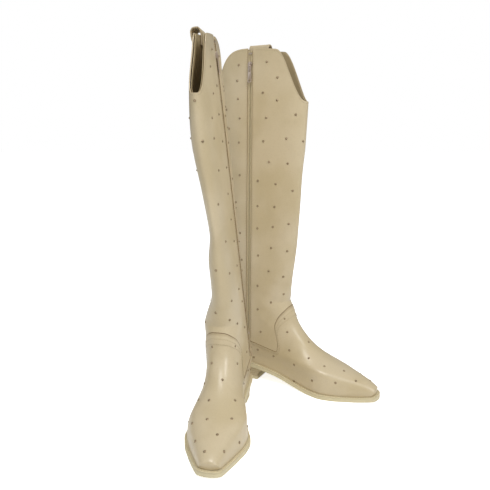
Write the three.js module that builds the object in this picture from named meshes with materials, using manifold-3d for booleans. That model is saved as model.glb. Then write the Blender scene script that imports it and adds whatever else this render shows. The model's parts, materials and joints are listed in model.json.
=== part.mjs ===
// A pair of tall western boots in soft leather: side zip, scalloped top, pull strap, snip toe.
// Millimetres, +Z up. Each boot is made in its own frame (x to the toe, +y to the inner side of
// the leg, z up from the ground), then leaned, mirrored for the left foot and set down in place.
import * as THREE from "three";
import { mergeVertices } from "three/addons/utils/BufferGeometryUtils.js";
import Module from "manifold-3d";

const wasm = await Module();
wasm.setup();

// Overall sizes
const SOLE_LENGTH = 278;
const BOOT_HEIGHT = 588; // top of the ears above the ground
const FRONT_NOTCH = 90; // depth of the scallop at the shin
const BACK_NOTCH = 68; // depth of the scallop at the calf
const BACK_SHARPNESS = 5.5; // the back scallop is cut close to the back seam
const EAR_REACH = 13; // the ear stays level this far in front of the zip
const EAR_SLOPE = 0.08; // share of the front notch that is the gentle fall of the ear
const EAR_END = 0.45; // share of the way to the shin where the notch is cut down
const NOTCH_LENGTH = 0.6;
const HEEL_RISE = 27; // ground to the underside of the sole at the heel seat
const BALL_HALF_WIDTH = 49;
const ANKLE_HEIGHT = 150; // above this level the shaft is cut by level planes

// Sheet thicknesses and clearances
const GAP = 0.3; // between pieces that lie against each other
const LEATHER = 1.6;
const INTERLINING = 1; // stiffeners and zip tapes lie between leather and lining
const LINING = 0.8;
const LINING_DEPTH = LEATHER + GAP + INTERLINING + GAP;
const WALL = LINING_DEPTH + LINING; // whole thickness of the upper

// Bottom of the boot
const OUTSOLE = 5;
const WELT = 2.5;
const INSOLE_BOARD = 2.2;
const FOOTBED = 2;
const WELT_MARGIN = 4; // how far the welt stands out beyond the upper
const WELT_WIDTH = 12;
const BED_CLEARANCE = 3.5; // insole to the lining, at the tightest place
const TOP_LIFT = 6;
const BREAST_X = 57; // front of the heel at the ground
const BREAST_SWEEP = 9; // how much further forward it is at the sole
const HEEL_RADIUS = 27;
const TOE_CORNER = 6.5; // corner radius of the snip toe
const TOE_SWING = 9; // how far the toe turns to the inner side

// Zip
const ZIP_X = 40; // distance of the zip from the back of the heel
const ZIP_Y = 32; // half width of the boot at the zip
const ZIP_SLOT = 9; // between the two leather edges
const ZIP_BOTTOM = 80;
const COIL_GAP = 1; // between the two rows of coil
const COIL_WIDTH = 2.6;
const COIL_RISE = 1; // coil above its tape
const TAPE_WIDTH = 9.5;
const SLIDER_DROP = 27; // slider centre below the top of the ears when the boot is closed
const SLIDER_WIDTH = 8;
const SLIDER_LENGTH = 10;
const PULLER_LENGTH = 31;
const PULLER_THICKNESS = 1.1;
const BAIL_CLEARANCE = 0.4;

// Pull strap
const STRAP_WIDTH = 38;
const STRAP_THICKNESS = 1.8;
const STRAP_LEG = 36;
const STRAP_RISE = 10.5;

// Heel screw
const SCREW_X = 24;
const SCREW_RADIUS = 2;
const SCREW_HEAD_RADIUS = 4.2;
const SCREW_HEAD = 1.4;
const SCREW_LENGTH = 22;

// Where each boot stands, how its shaft hangs over, and how far its soft top has spread open
const STANCES = [
  {
    side: "right", x: -14.7, y: 61.3, turn: -98.5,
    lean: 6, pitch: -1.8, spread: -0.26, mirrored: false,
  },
  {
    side: "left", x: -15.8, y: 143.7, turn: -27,
    lean: 2.7, pitch: 0.9, spread: 0.36, mirrored: true,
  },
];
const SPREAD_START = 430; // the shaft is still flat at this height

// --- small maths ---

const clamp = (value, low, high) => Math.min(high, Math.max(low, value));
const mix = (a, b, share) => a + (b - a) * share;

function ease(share) {
  const s = clamp(share, 0, 1);
  return s * s * (3 - 2 * s);
}

// A smooth curve through [position, value] points that never overshoots them.
function through(points) {
  const slopes = points.map((point, i) => {
    if (i === 0 || i === points.length - 1) return 0;
    const [h0, h1] = [point[0] - points[i - 1][0], points[i + 1][0] - point[0]];
    const d0 = (point[1] - points[i - 1][1]) / h0;
    const d1 = (points[i + 1][1] - point[1]) / h1;
    if (d0 * d1 <= 0) return 0;
    return (3 * (h0 + h1)) / ((2 * h1 + h0) / d0 + (h1 + 2 * h0) / d1);
  });
  const chord = (i) => (points[i + 1][1] - points[i][1]) / (points[i + 1][0] - points[i][0]);
  slopes[0] = chord(0);
  slopes[points.length - 1] = chord(points.length - 2);
  return (position) => {
    const x = clamp(position, points[0][0], points[points.length - 1][0]);
    let i = points.length - 2;
    while (i > 0 && x < points[i][0]) i -= 1;
    const h = points[i + 1][0] - points[i][0];
    const t = (x - points[i][0]) / h;
    return (
      (2 * t ** 3 - 3 * t ** 2 + 1) * points[i][1] +
      (t ** 3 - 2 * t ** 2 + t) * h * slopes[i] +
      (3 * t ** 2 - 2 * t ** 3) * points[i + 1][1] +
      (t ** 3 - t ** 2) * h * slopes[i + 1]
    );
  };
}

// Half width that rounds off to nothing over the last stretch before an end.
function roundEnd(distance, radius) {
  const reach = clamp((radius - distance) / radius, 0, 1);
  return Math.sqrt(Math.max(0, 1 - reach * reach));
}

// --- the last: outlines and profiles that every piece is cut to ---

const fromToe = (distance) => SOLE_LENGTH - distance;
const innerWidth = through([
  [0, 31], [30, 32], [60, 30.5], [95, 29], [130, 35], [fromToe(118), 43.5],
  [fromToe(93), BALL_HALF_WIDTH], [fromToe(73), 45.5], [fromToe(48), 35.5],
  [fromToe(23), 24], [fromToe(8), 17.5], [SOLE_LENGTH, 13.5],
]);
const outerWidth = through([
  [0, 31], [30, 32], [60, 32], [95, 33.5], [130, 40], [fromToe(118), 46],
  [fromToe(98), BALL_HALF_WIDTH], [fromToe(73), 45], [fromToe(48), 36],
  [fromToe(23), 25.5], [fromToe(8), 18.5], [SOLE_LENGTH, 13.5],
]);

// Levels run from 0 at the sole, through 1 at the ankle, to 2 at the top of the ears. A level
// below 1 is a tilted plane from the heel back up to a point on the ridge of the foot.
const ANKLE_FRONT = 108;
const ANKLE_BACK = 10;
const TOE_LEVEL = 0.12; // the toe stands upright below this level
const ridgeX = through([
  [0, fromToe(5.5)], [TOE_LEVEL, fromToe(5)], [0.25, fromToe(16)], [0.4, fromToe(43)],
  [0.55, fromToe(78)], [0.7, fromToe(115)],
  [0.85, mix(ANKLE_FRONT, fromToe(115), 0.4)], [1, ANKLE_FRONT],
]);
const ridgeZ = through([
  [0, 12.6], [TOE_LEVEL, 21], [0.25, 30], [0.4, 40],
  [0.55, 51], [0.7, 70], [0.85, 102], [1, ANKLE_HEIGHT],
]);
const heelBackX = through([
  [0, 5], [TOE_LEVEL, 1.5], [0.25, 0], [0.4, 0.5],
  [0.55, 2.5], [0.7, 5], [0.85, 7.5], [1, ANKLE_BACK],
]);
const heelBackZ = through([
  [0, 34.6], [TOE_LEVEL, 42], [0.25, 52], [0.4, 66],
  [0.55, 83], [0.7, 102], [0.85, 125], [1, ANKLE_HEIGHT],
]);
const behindAnkle = through([[-40, 5], [32, 3], [72, 2], [ANKLE_FRONT, 1]]);

// Level at which the ridge of the foot stands over x. It runs on past 1 behind the ankle.
function ridgeLevelAt(x) {
  if (x <= ANKLE_FRONT) return behindAnkle(x);
  let [low, high] = [TOE_LEVEL, 1];
  for (let i = 0; i < 24; i += 1) {
    const middle = (low + high) / 2;
    if (ridgeX(middle) > x) low = middle;
    else high = middle;
  }
  return high;
}

const shinX = through([
  [ANKLE_HEIGHT, ANKLE_FRONT], [205, 117], [250, 123], [307, 129], [378, 131.5],
  [422, 135], [500, 138], [BOOT_HEIGHT + 20, 139],
]);
const calfX = through([
  [ANKLE_HEIGHT, ANKLE_BACK], [220, 2], [300, -9], [400, -24], [500, -31], [BOOT_HEIGHT + 20, -33],
]);
const shaftHalfWidth = through([
  [ANKLE_HEIGHT, 32], [200, 22.5], [250, 21.2], [300, 16.5], [350, 18],
  [430, 21.4], [500, 20.5], [560, 16], [BOOT_HEIGHT + 20, 13],
]);
const OVAL_POWER = 2.7;
const ARCH_POWER = 2.8;

const TOE_SPRING = 4; // rise of the sole at the toe, over its last stretch
const SPRING_LENGTH = 43;
const TREAD_START = fromToe(106); // the sole lies on the ground from here to the toe spring
const SEAT_END = 20; // the heel seat is level behind this

function soleZ(x) {
  const toeSpring = TOE_SPRING * Math.max(0, (x - fromToe(SPRING_LENGTH)) / SPRING_LENGTH) ** 2;
  return HEEL_RISE * ease((TREAD_START - x) / (TREAD_START - SEAT_END)) + toeSpring;
}

const featherZ = (x) => soleZ(x) + OUTSOLE + WELT + 2 * GAP;
const SWING_START = 110;
const toeSwing = (x) => TOE_SWING * Math.max(0, (x - SWING_START) / fromToe(SWING_START)) ** 2;

// Half width of the sole at x, inset by a margin.
function soleHalfWidth(x, side, margin) {
  const width = (side > 0 ? innerWidth : outerWidth)(x) - margin;
  const heelEnd = roundEnd(x - margin, HEEL_RADIUS - margin);
  const toeEnd = roundEnd(SOLE_LENGTH - margin - x, TOE_CORNER);
  return width * heelEnd * toeEnd;
}

// The two ends, the half width and the mid line of one level.
function levelShape(level) {
  if (level < 1) {
    const [front, back] = [ridgeX(level), heelBackX(level)];
    const wrap = ease((level - 0.45) / 0.55); // how far the foot has turned into the shaft
    const half = shaftHalfWidth(ANKLE_HEIGHT) + 4 * (1 - level);
    return { front, back, half, wrap, middle: (ZIP_Y - half) * wrap };
  }
  const z = ANKLE_HEIGHT + (level - 1) * (BOOT_HEIGHT - ANKLE_HEIGHT);
  const half = shaftHalfWidth(z);
  return { front: shinX(z), back: calfX(z), half, wrap: 1, middle: ZIP_Y - half, z };
}

// Flattened oval that is widest, and level, at the zip.
function ovalShare(x, shape) {
  const reach = x > ZIP_X ? shape.front - ZIP_X : ZIP_X - shape.back;
  return Math.sqrt(Math.max(0, 1 - Math.min(1, Math.abs(x - ZIP_X) / reach) ** OVAL_POWER));
}

function footHalfWidth(x, side, level, shape) {
  const width = (side > 0 ? innerWidth : outerWidth)(x) - WELT_MARGIN;
  const heelEnd = roundEnd(x - shape.back, HEEL_RADIUS - WELT_MARGIN);
  const corner = TOE_CORNER * (1 - level / TOE_LEVEL);
  const toeEnd = level < TOE_LEVEL ? roundEnd(shape.front - x, Math.max(corner, 1e-3)) : 1;
  const arch = Math.max(0, 1 - Math.min(1, level / ridgeLevelAt(x)) ** ARCH_POWER);
  return width * heelEnd * toeEnd * Math.sqrt(arch);
}

// Outer face of the upper. The turn is 0 at the back, PI at the front, and 2 PI at the back again.
function upperPoint(turn, level) {
  const shape = levelShape(level);
  const side = Math.sin(turn) < 0 ? -1 : 1;
  const share = (1 - Math.cos(turn)) / 2;
  const x = mix(shape.back, shape.front, share);
  const oval = (at) => shape.half * ovalShare(at, shape);
  if (level >= 1) return new THREE.Vector3(x, shape.middle + side * oval(x), shape.z);
  const half = (at) => mix(footHalfWidth(at, side, level, shape), oval(at), shape.wrap);
  let width = half(x);
  if (side > 0) {
    // The inner side runs out to the straight line of the zip.
    const reach = ease((level - 0.2) / 0.3);
    width *= 1 + (reach * (ZIP_Y - shape.middle - half(ZIP_X))) / half(ZIP_X);
  }
  const flat = mix(heelBackZ(level), ridgeZ(level), share);
  const seat = featherZ(x) - mix(heelBackZ(0), ridgeZ(0), share);
  const middle = shape.middle + toeSwing(x) * (1 - shape.wrap);
  return new THREE.Vector3(x, middle + side * width, flat + seat * (1 - level) ** 2);
}

// Turn at which a level crosses x, on the inner side.
function turnAt(x, level) {
  const shape = levelShape(level);
  return Math.acos(clamp(1 - (2 * (x - shape.back)) / (shape.front - shape.back), -1, 1));
}

const levelOf = (z) => 1 + (z - ANKLE_HEIGHT) / (BOOT_HEIGHT - ANKLE_HEIGHT);

// Level on the inner side at the zip line for a height below the ankle.
function zipLevel(z) {
  if (z >= ANKLE_HEIGHT) return levelOf(z);
  let [low, high] = [0, 1];
  for (let i = 0; i < 30; i += 1) {
    const middle = (low + high) / 2;
    if (upperPoint(turnAt(ZIP_X, middle), middle).z < z) low = middle;
    else high = middle;
  }
  return low;
}

// Height of the scalloped top at a place round the shaft.
function topLevel(turn) {
  const shape = levelShape(1.85);
  const x = mix(shape.back, shape.front, (1 - Math.cos(turn)) / 2);
  const earEnd = ZIP_X + EAR_REACH;
  const front = (x - earEnd) / (shape.front - earEnd);
  const back = Math.max(0, (ZIP_X - x) / (ZIP_X - shape.back));
  if (front <= 0) return levelOf(BOOT_HEIGHT - BACK_NOTCH * back ** BACK_SHARPNESS);
  const fall = mix(ease((front - EAR_END) / NOTCH_LENGTH), front, EAR_SLOPE);
  return levelOf(BOOT_HEIGHT - FRONT_NOTCH * fall);
}

// --- solids from points ---

// Closes a list of triangles into a geometry that faces out.
function solid(triangles) {
  let volume = 0;
  for (const [a, b, c] of triangles) volume += a.dot(b.clone().cross(c));
  const faces = volume < 0 ? triangles.map(([a, b, c]) => [a, c, b]) : triangles;
  const geometry = new THREE.BufferGeometry();
  const places = faces.flatMap((face) => face.flatMap((point) => point.toArray()));
  geometry.setAttribute("position", new THREE.Float32BufferAttribute(places, 3));
  geometry.computeVertexNormals();
  return geometry;
}

function strip(ringA, ringB, out) {
  for (let k = 0; k < ringA.length; k += 1) {
    const n = (k + 1) % ringA.length;
    out.push([ringA[k], ringA[n], ringB[n]], [ringA[k], ringB[n], ringB[k]]);
  }
}

function fan(ring, out, reversed) {
  for (let k = 1; k < ring.length - 1; k += 1) {
    out.push(reversed ? [ring[0], ring[k + 1], ring[k]] : [ring[0], ring[k], ring[k + 1]]);
  }
}

// Skin over a row of rings, closed at both ends or joined round to the first.
function loft(rings, joined = false) {
  const triangles = [];
  for (let i = 0; i < rings.length - 1; i += 1) strip(rings[i], rings[i + 1], triangles);
  if (joined) strip(rings[rings.length - 1], rings[0], triangles);
  else {
    fan(rings[0], triangles, true);
    fan(rings[rings.length - 1], triangles, false);
  }
  return solid(triangles);
}

// Sheet between two grids of points that lie one behind the other.
function sheet(outer, inner) {
  const triangles = [];
  const [rows, columns] = [outer.length - 1, outer[0].length - 1];
  for (let i = 0; i < rows; i += 1) {
    for (let k = 0; k < columns; k += 1) {
      const face = (g) => [g[i][k], g[i][k + 1], g[i + 1][k + 1], g[i + 1][k]];
      const [a, b, c, d] = face(outer);
      triangles.push([a, b, c], [a, c, d]);
      const [p, q, r, s] = face(inner);
      triangles.push([p, r, q], [p, s, r]);
    }
  }
  const rim = (g) => [
    ...g[0].slice(0, columns),
    ...g.slice(0, rows).map((row) => row[columns]),
    ...g[rows].slice(1).reverse(),
    ...g.slice(1).reverse().map((row) => row[0]),
  ];
  const [edge, back] = [rim(outer), rim(inner)];
  for (let k = 0; k < edge.length; k += 1) {
    const n = (k + 1) % edge.length;
    triangles.push([edge[k], back[k], back[n]], [edge[k], back[n], edge[n]]);
  }
  return solid(triangles);
}

const steps = (count) => Array.from({ length: count + 1 }, (_, i) => i / count);

function asSolid(geometry) {
  const bare = geometry.index ? geometry.toNonIndexed() : geometry.clone();
  bare.deleteAttribute("normal");
  bare.deleteAttribute("uv");
  const merged = mergeVertices(bare, 1e-4);
  return new wasm.Manifold(
    new wasm.Mesh({
      numProp: 3,
      vertProperties: merged.attributes.position.array,
      triVerts: new Uint32Array(merged.index.array),
    }),
  );
}

function asGeometry(manifold) {
  const mesh = manifold.getMesh();
  const geometry = new THREE.BufferGeometry();
  geometry.setAttribute("position", new THREE.BufferAttribute(mesh.vertProperties, 3));
  geometry.setIndex(new THREE.BufferAttribute(mesh.triVerts, 1));
  geometry.computeVertexNormals();
  return geometry;
}

const cut = (body, tool) => asGeometry(asSolid(body).subtract(asSolid(tool)));
const unite = (first, second) => asGeometry(asSolid(first).add(asSolid(second)));

// --- one boot ---

const finish = (color, roughness, metalness = 0) =>
  new THREE.MeshStandardMaterial({ color, roughness, metalness, side: THREE.DoubleSide });
const BEIGE = finish("#cdbfa0", 0.42);
const LINING_CREAM = finish("#b8a888", 0.8);
const SOLE_CREAM = finish("#cfc3a0", 0.6);
const BOARD = finish("#a58f6c", 0.9);
const STEEL = finish("#b9b7b2", 0.35, 1);
const TAPE = finish("#bfb08e", 0.85);
const NICKEL = finish("#c9b9ad", 0.3, 1);

function makeBoot(stance) {
  const boot = new THREE.Group();
  const leanRise = Math.tan(THREE.MathUtils.degToRad(stance.lean));
  const pitchRise = Math.tan(THREE.MathUtils.degToRad(stance.pitch));

  // The shaft hangs over from just above the sole: a bend from 40 to 80 mm, straight above it.
  const overhang = (z) => (z > 80 ? z - 60 : Math.max(0, z - 40) ** 2 / 80);
  // The outer side moves in or out from the line of the zip, most at the top.
  const widened = (z) => 1 + stance.spread * ease((z - SPREAD_START) / (BOOT_HEIGHT - SPREAD_START));
  const hang = (point) => {
    const reach = overhang(point.z);
    point.y = ZIP_Y - (ZIP_Y - point.y) * widened(point.z) - leanRise * reach;
    point.x -= pitchRise * reach;
    return point;
  };
  const skin = (turn, level) => hang(upperPoint(turn, level));

  // A point at a depth under the outer face.
  function under(turn, level, depth) {
    const low = Math.max(level - 0.02, 0);
    const along = skin(turn, low + 0.04).sub(skin(turn, low));
    const round = skin(turn + 0.01, level).sub(skin(turn - 0.01, level));
    const outward = along.cross(round).normalize();
    const place = skin(turn, level).addScaledVector(outward, -depth);
    place.z = Math.max(place.z, featherZ(place.x)); // the lower edge sits flat on the welt
    return place;
  }

  const add = (name, geometry, material) => {
    const mesh = new THREE.Mesh(geometry, material);
    mesh.name = `${stance.side}_${name}`;
    boot.add(mesh);
    return mesh;
  };

  // Sheets of the upper run in columns from the sole to the top: the front ones go from the zip
  // round the toe to the outer side seam, the back ones from there round the heel to the zip.
  const SEAM_HALF = GAP / 2;
  const TOP_CROWDING = 1.4;
  const SLOT_EDGE = ZIP_SLOT / 2;
  const columnTurn = {
    front: (u, level) =>
      mix(turnAt(ZIP_X + SLOT_EDGE, level), 2 * Math.PI - turnAt(ZIP_X + SEAM_HALF, level), u),
    back: (u, level) =>
      2 * Math.PI + mix(-turnAt(ZIP_X - SEAM_HALF, level), turnAt(ZIP_X - SLOT_EDGE, level), u),
  };

  // Level of a row. A region that runs past the ankle has a share of its rows below it, and the
  // rest crowd towards the top.
  function rowLevel({ from, to, below = 0 }, u, v) {
    if (below === 0) return mix(from(u), to(u), v);
    if (v <= below) return mix(from(u), 1, v / below);
    return mix(1, to(u), 1 - (1 - (v - below) / (1 - below)) ** TOP_CROWDING);
  }

  // Columns of a sheet. One that closes below the zip has one more, in the line of the zip.
  function columnsOf({ part, columns, closed, span = [0, 1] }) {
    const open = steps(columns).map((share) => {
      const u = mix(span[0], span[1], share);
      return { u, turn: (level) => columnTurn[part](u, level) };
    });
    if (!closed) return open;
    if (part === "front") return [{ u: 0, turn: (level) => turnAt(ZIP_X + SEAM_HALF, level) }, ...open];
    return [...open, { u: 1, turn: (level) => 2 * Math.PI + turnAt(ZIP_X - SEAM_HALF, level) }];
  }

  function upperSheet({ rows, depth, thickness, ...region }) {
    const columns = columnsOf(region);
    const grid = (at) =>
      steps(rows).map((v) =>
        columns.map(({ u, turn }) => {
          const level = rowLevel(region, u, v);
          return under(turn(level), level, at);
        }),
      );
    return sheet(grid(depth), grid(depth + thickness));
  }

  // Seam between the foot and the shaft, as a level for each column of the front sheets.
  const halfSeam = through([
    [0, 0.525], [0.06, 0.5], [0.11, 0.478], [0.135, 0.58], [0.2, 0.86], [0.3, 0.94], [0.43, 0.972],
    [0.5, 0.975],
  ]);
  const FRONT_SEAM = (u) => halfSeam(Math.min(u, 1 - u));
  const SEAM_STEP = 0.004; // half of the joint between foot and shaft, in levels
  const BACK_SEAM = 0.525;
  const ZIP_START = zipLevel(ZIP_BOTTOM);
  const topOf = (part) => (u) => topLevel(columnTurn[part](u, 1.85) % (2 * Math.PI));
  const lower = (top, drop) => (u) => top(u) - drop / (BOOT_HEIGHT - ANKLE_HEIGHT);
  const at = (level) => () => level;

  // The two sheets of the foot meet below the zip, and those of the shaft leave its slot open.
  const REGIONS = {
    foot: {
      part: "front", columns: 20, rows: 7, closed: true,
      from: at(0), to: (u) => FRONT_SEAM(u) - SEAM_STEP,
    },
    heel: {
      part: "back", columns: 14, rows: 4, closed: true,
      from: at(0), to: at(BACK_SEAM - SEAM_STEP),
    },
    shin: {
      part: "front", columns: 20, rows: 11, below: 3 / 11,
      from: (u) => FRONT_SEAM(u) + SEAM_STEP, to: topOf("front"),
    },
    calf: {
      part: "back", columns: 14, rows: 11, below: 3 / 11,
      from: at(BACK_SEAM + SEAM_STEP), to: topOf("back"),
    },
  };
  const LAYERS = {
    leather: { depth: 0, thickness: LEATHER },
    stiff: { depth: LEATHER + GAP, thickness: INTERLINING },
    lining: { depth: LINING_DEPTH, thickness: LINING },
  };
  // The lower rows of a region, over some of its columns.
  const lowerRows = (region, rows, columns) => ({
    ...region,
    rows,
    closed: false,
    to: (u) => (region.to(u) * rows) / region.rows,
    span: [0.5 - columns / region.columns / 2, 0.5 + columns / region.columns / 2],
    columns,
  });
  const { foot, heel, shin, calf } = REGIONS;
  const { leather, stiff, lining } = LAYERS;
  const hem = (region) => ({ ...region, to: lower(region.to, 1) });
  add("vamp", upperSheet({ ...foot, ...leather }), BEIGE);
  add("counter", upperSheet({ ...heel, ...leather }), BEIGE);
  add("shaft_front", upperSheet({ ...shin, ...leather }), BEIGE);
  add("shaft_back", upperSheet({ ...calf, ...leather }), BEIGE);
  add("vamp_lining", upperSheet({ ...foot, ...lining }), LINING_CREAM);
  add("counter_lining", upperSheet({ ...heel, ...lining }), LINING_CREAM);
  add("shaft_lining_front", upperSheet({ ...hem(shin), ...lining }), LINING_CREAM);
  add("shaft_lining_back", upperSheet({ ...hem(calf), ...lining }), LINING_CREAM);
  add("toe_puff", upperSheet({ ...lowerRows(foot, 3, 10), ...stiff }), BOARD);
  add("heel_stiffener", upperSheet({ ...lowerRows(heel, 3, 12), ...stiff }), BOARD);

  // --- bottom ---

  const sideOf = (share) => (share < 0.5 ? 1 : -1);
  const edgePoint = (x, side, margin, z) =>
    new THREE.Vector3(x, toeSwing(x) + side * soleHalfWidth(x, side, margin), z);

  // A plate that follows the sole, between two heights above its underside.
  function solePlate(margin, low, high, startX, endX, count) {
    const first = Math.max(startX, margin + GAP);
    const last = Math.min(endX, SOLE_LENGTH - margin - GAP);
    return loft(steps(count).map((share) => {
      const x = mix(first, last, (1 - Math.cos(Math.PI * share)) / 2);
      const [bottom, top] = [soleZ(x) + low, soleZ(x) + high];
      return [
        edgePoint(x, -1, margin, bottom), edgePoint(x, 1, margin, bottom),
        edgePoint(x, 1, margin, top), edgePoint(x, -1, margin, top),
      ];
    }));
  }

  const hole = (radius, low, high) => {
    const tool = new THREE.CylinderGeometry(radius, radius, high - low, 16);
    tool.rotateX(Math.PI / 2);
    return tool.translate(SCREW_X, 0, (low + high) / 2);
  };
  const boardBottom = OUTSOLE + WELT + 2 * GAP;
  const boardTop = boardBottom + INSOLE_BOARD;
  const headTop = soleZ(SCREW_X) + boardTop - GAP;
  const screwTip = headTop - SCREW_HEAD - SCREW_LENGTH;
  const drill = (geometry) => cut(geometry, hole(SCREW_RADIUS + GAP, screwTip - 1, headTop + 10));

  add("outsole", drill(solePlate(0, 0, OUTSOLE, 0, SOLE_LENGTH, 26)), SOLE_CREAM);
  const weltRing = (share) => {
    const turn = 2 * Math.PI * share;
    const edge = (margin, height) => {
      const x = mix(margin + GAP, SOLE_LENGTH - margin - GAP, (1 - Math.cos(turn)) / 2);
      return edgePoint(x, sideOf(share), margin, soleZ(x) + height);
    };
    const [low, high] = [OUTSOLE + GAP, OUTSOLE + GAP + WELT];
    return [edge(0, low), edge(WELT_WIDTH, low), edge(WELT_WIDTH, high), edge(0, high)];
  };
  const WELT_POINTS = 60;
  const weltRings = steps(WELT_POINTS).slice(0, -1).map((share) => weltRing(share + 0.5 / WELT_POINTS));
  add("welt", loft(weltRings, true), SOLE_CREAM);
  const FILLER_START = 106;
  const SHANK_START = 36;
  const SHANK_HALF_WIDTH = 6;
  add("cork_filler", solePlate(
    WELT_WIDTH + 2 * GAP, OUTSOLE + GAP, OUTSOLE + GAP + WELT, FILLER_START, SOLE_LENGTH, 12,
  ), BOARD);
  add("shank", loft(steps(8).map((share) => {
    const x = mix(SHANK_START, FILLER_START - 1, share);
    const [low, high] = [soleZ(x) + OUTSOLE + GAP, soleZ(x) + OUTSOLE + GAP + WELT];
    return [[-1, low], [1, low], [1, high], [-1, high]].map(
      ([side, z]) => new THREE.Vector3(x, side * SHANK_HALF_WIDTH, z),
    );
  })), STEEL);

  const INSOLE_MARGIN = WELT_MARGIN + WALL + BED_CLEARANCE;
  const bedPlate = (low, high) => solePlate(INSOLE_MARGIN, low, high, 0, SOLE_LENGTH, 18);
  const headSeat = hole(SCREW_HEAD_RADIUS + GAP, headTop - SCREW_HEAD - GAP, headTop + 10);
  add("insole_board", cut(drill(bedPlate(boardBottom, boardTop)), headSeat), BOARD);
  add("footbed", bedPlate(boardTop + GAP, boardTop + GAP + FOOTBED), LINING_CREAM);

  // --- heel ---

  const HEEL_INSET = 1.5;
  const HEEL_TAPER = 3; // the heel is this much smaller at the ground, behind and at the sides
  const heelRing = (share, zAt) => {
    const back = HEEL_INSET + HEEL_TAPER * (1 - share);
    const front = BREAST_X + BREAST_SWEEP * share ** 2;
    const corner = (side, s) => {
      const x = mix(back, front, 1 - Math.cos((Math.PI / 2) * s));
      const width = (side > 0 ? innerWidth : outerWidth)(x) - back;
      return new THREE.Vector3(x, side * width * roundEnd(x - back, HEEL_RADIUS), zAt(x));
    };
    const half = steps(8).slice(1);
    return [...half.map((s) => corner(1, s)).reverse(), corner(1, 0), ...half.map((s) => corner(-1, s))];
  };
  const heelLevels = steps(3).map((share) =>
    heelRing(share, (x) => mix(TOP_LIFT + GAP, soleZ(x) - GAP, share)),
  );
  add("heel_block", drill(loft(heelLevels)), SOLE_CREAM);
  add("top_lift", loft([heelRing(0, () => 0), heelRing(0, () => TOP_LIFT)]), SOLE_CREAM);
  const screw = new THREE.LatheGeometry([
    [0, screwTip], [SCREW_RADIUS * 0.4, screwTip], [SCREW_RADIUS, screwTip + 4],
    [SCREW_RADIUS, headTop - SCREW_HEAD], [SCREW_HEAD_RADIUS, headTop - SCREW_HEAD],
    [SCREW_HEAD_RADIUS, headTop], [0, headTop],
  ].map(([r, z]) => new THREE.Vector2(r, z)), 12);
  screw.rotateX(Math.PI / 2).translate(SCREW_X, 0, 0);
  add("heel_screw", screw, STEEL);

  // --- zip ---

  const ZIP_TOP = BOOT_HEIGHT - 4;
  const coilDepth = LEATHER + GAP - COIL_RISE;
  const tapeBack = LEATHER + GAP + INTERLINING;
  // The tapes bend at the same levels as the sheets in front of them.
  const zipLevels = steps(shin.rows).map((v) =>
    clamp(rowLevel(shin, 0, v), ZIP_START, levelOf(ZIP_TOP)),
  );
  const coilReach = COIL_GAP / 2 + COIL_WIDTH;
  const tapeShape = [
    [COIL_GAP / 2, coilDepth], [coilReach, coilDepth], [coilReach, LEATHER + GAP],
    [TAPE_WIDTH, LEATHER + GAP], [TAPE_WIDTH, tapeBack], [COIL_GAP / 2, tapeBack],
  ];
  const zipTape = (direction) =>
    loft(zipLevels.map((level) =>
      tapeShape.map(([reach, depth]) => under(turnAt(ZIP_X + direction * reach, level), level, depth)),
    ));
  add("zip_tape_front", zipTape(1), TAPE);
  add("zip_tape_back", zipTape(-1), TAPE);
  const GUARD_REACH = 8;
  add("zip_guard", loft(zipLevels.slice(1, -1).map((level) =>
    [[-1, 0], [1, 0], [1, LINING], [-1, LINING]].map(([side, depth]) =>
      under(turnAt(ZIP_X + side * GUARD_REACH, level), level, WALL + GAP + depth)),
  )), LINING_CREAM);

  // The zip frame: x as the boot's, y out of the leather, z up along the zip.
  const zipPlace = (z) => hang(new THREE.Vector3(ZIP_X, ZIP_Y, z));
  const zipUp = zipPlace(200).sub(zipPlace(100)).normalize();
  const zipOut = new THREE.Vector3().crossVectors(zipUp, new THREE.Vector3(1, 0, 0)).normalize();
  const zipAcross = new THREE.Vector3().crossVectors(zipOut, zipUp);
  const zipFrame = (z) => {
    const frame = new THREE.Group();
    frame.matrix.makeBasis(zipAcross, zipOut, zipUp).setPosition(zipPlace(z));
    frame.matrix.decompose(frame.position, frame.quaternion, frame.scale);
    boot.add(frame);
    return frame;
  };
  const block = (x0, x1, y0, y1, z0, z1) => {
    const box = new THREE.BoxGeometry(x1 - x0, y1 - y0, z1 - z0);
    return box.translate((x0 + x1) / 2, (y0 + y1) / 2, (z0 + z1) / 2);
  };
  const inZip = (frame, name, geometry) => {
    const mesh = new THREE.Mesh(geometry, NICKEL);
    mesh.name = `${stance.side}_${name}`;
    frame.add(mesh);
    return mesh;
  };

  const STOP_LENGTH = 2.6;
  const topStops = zipFrame(ZIP_TOP - 6);
  const onCoil = GAP - coilDepth;
  const stop = (x0, x1) => block(x0, x1, onCoil, onCoil + 1, 0, STOP_LENGTH);
  inZip(topStops, "zip_top_stop_front", stop(COIL_GAP / 2, coilReach));
  inZip(topStops, "zip_top_stop_back", stop(-coilReach, -COIL_GAP / 2));
  inZip(zipFrame(ZIP_BOTTOM + 8), "zip_bottom_stop", stop(-coilReach, coilReach));

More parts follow.
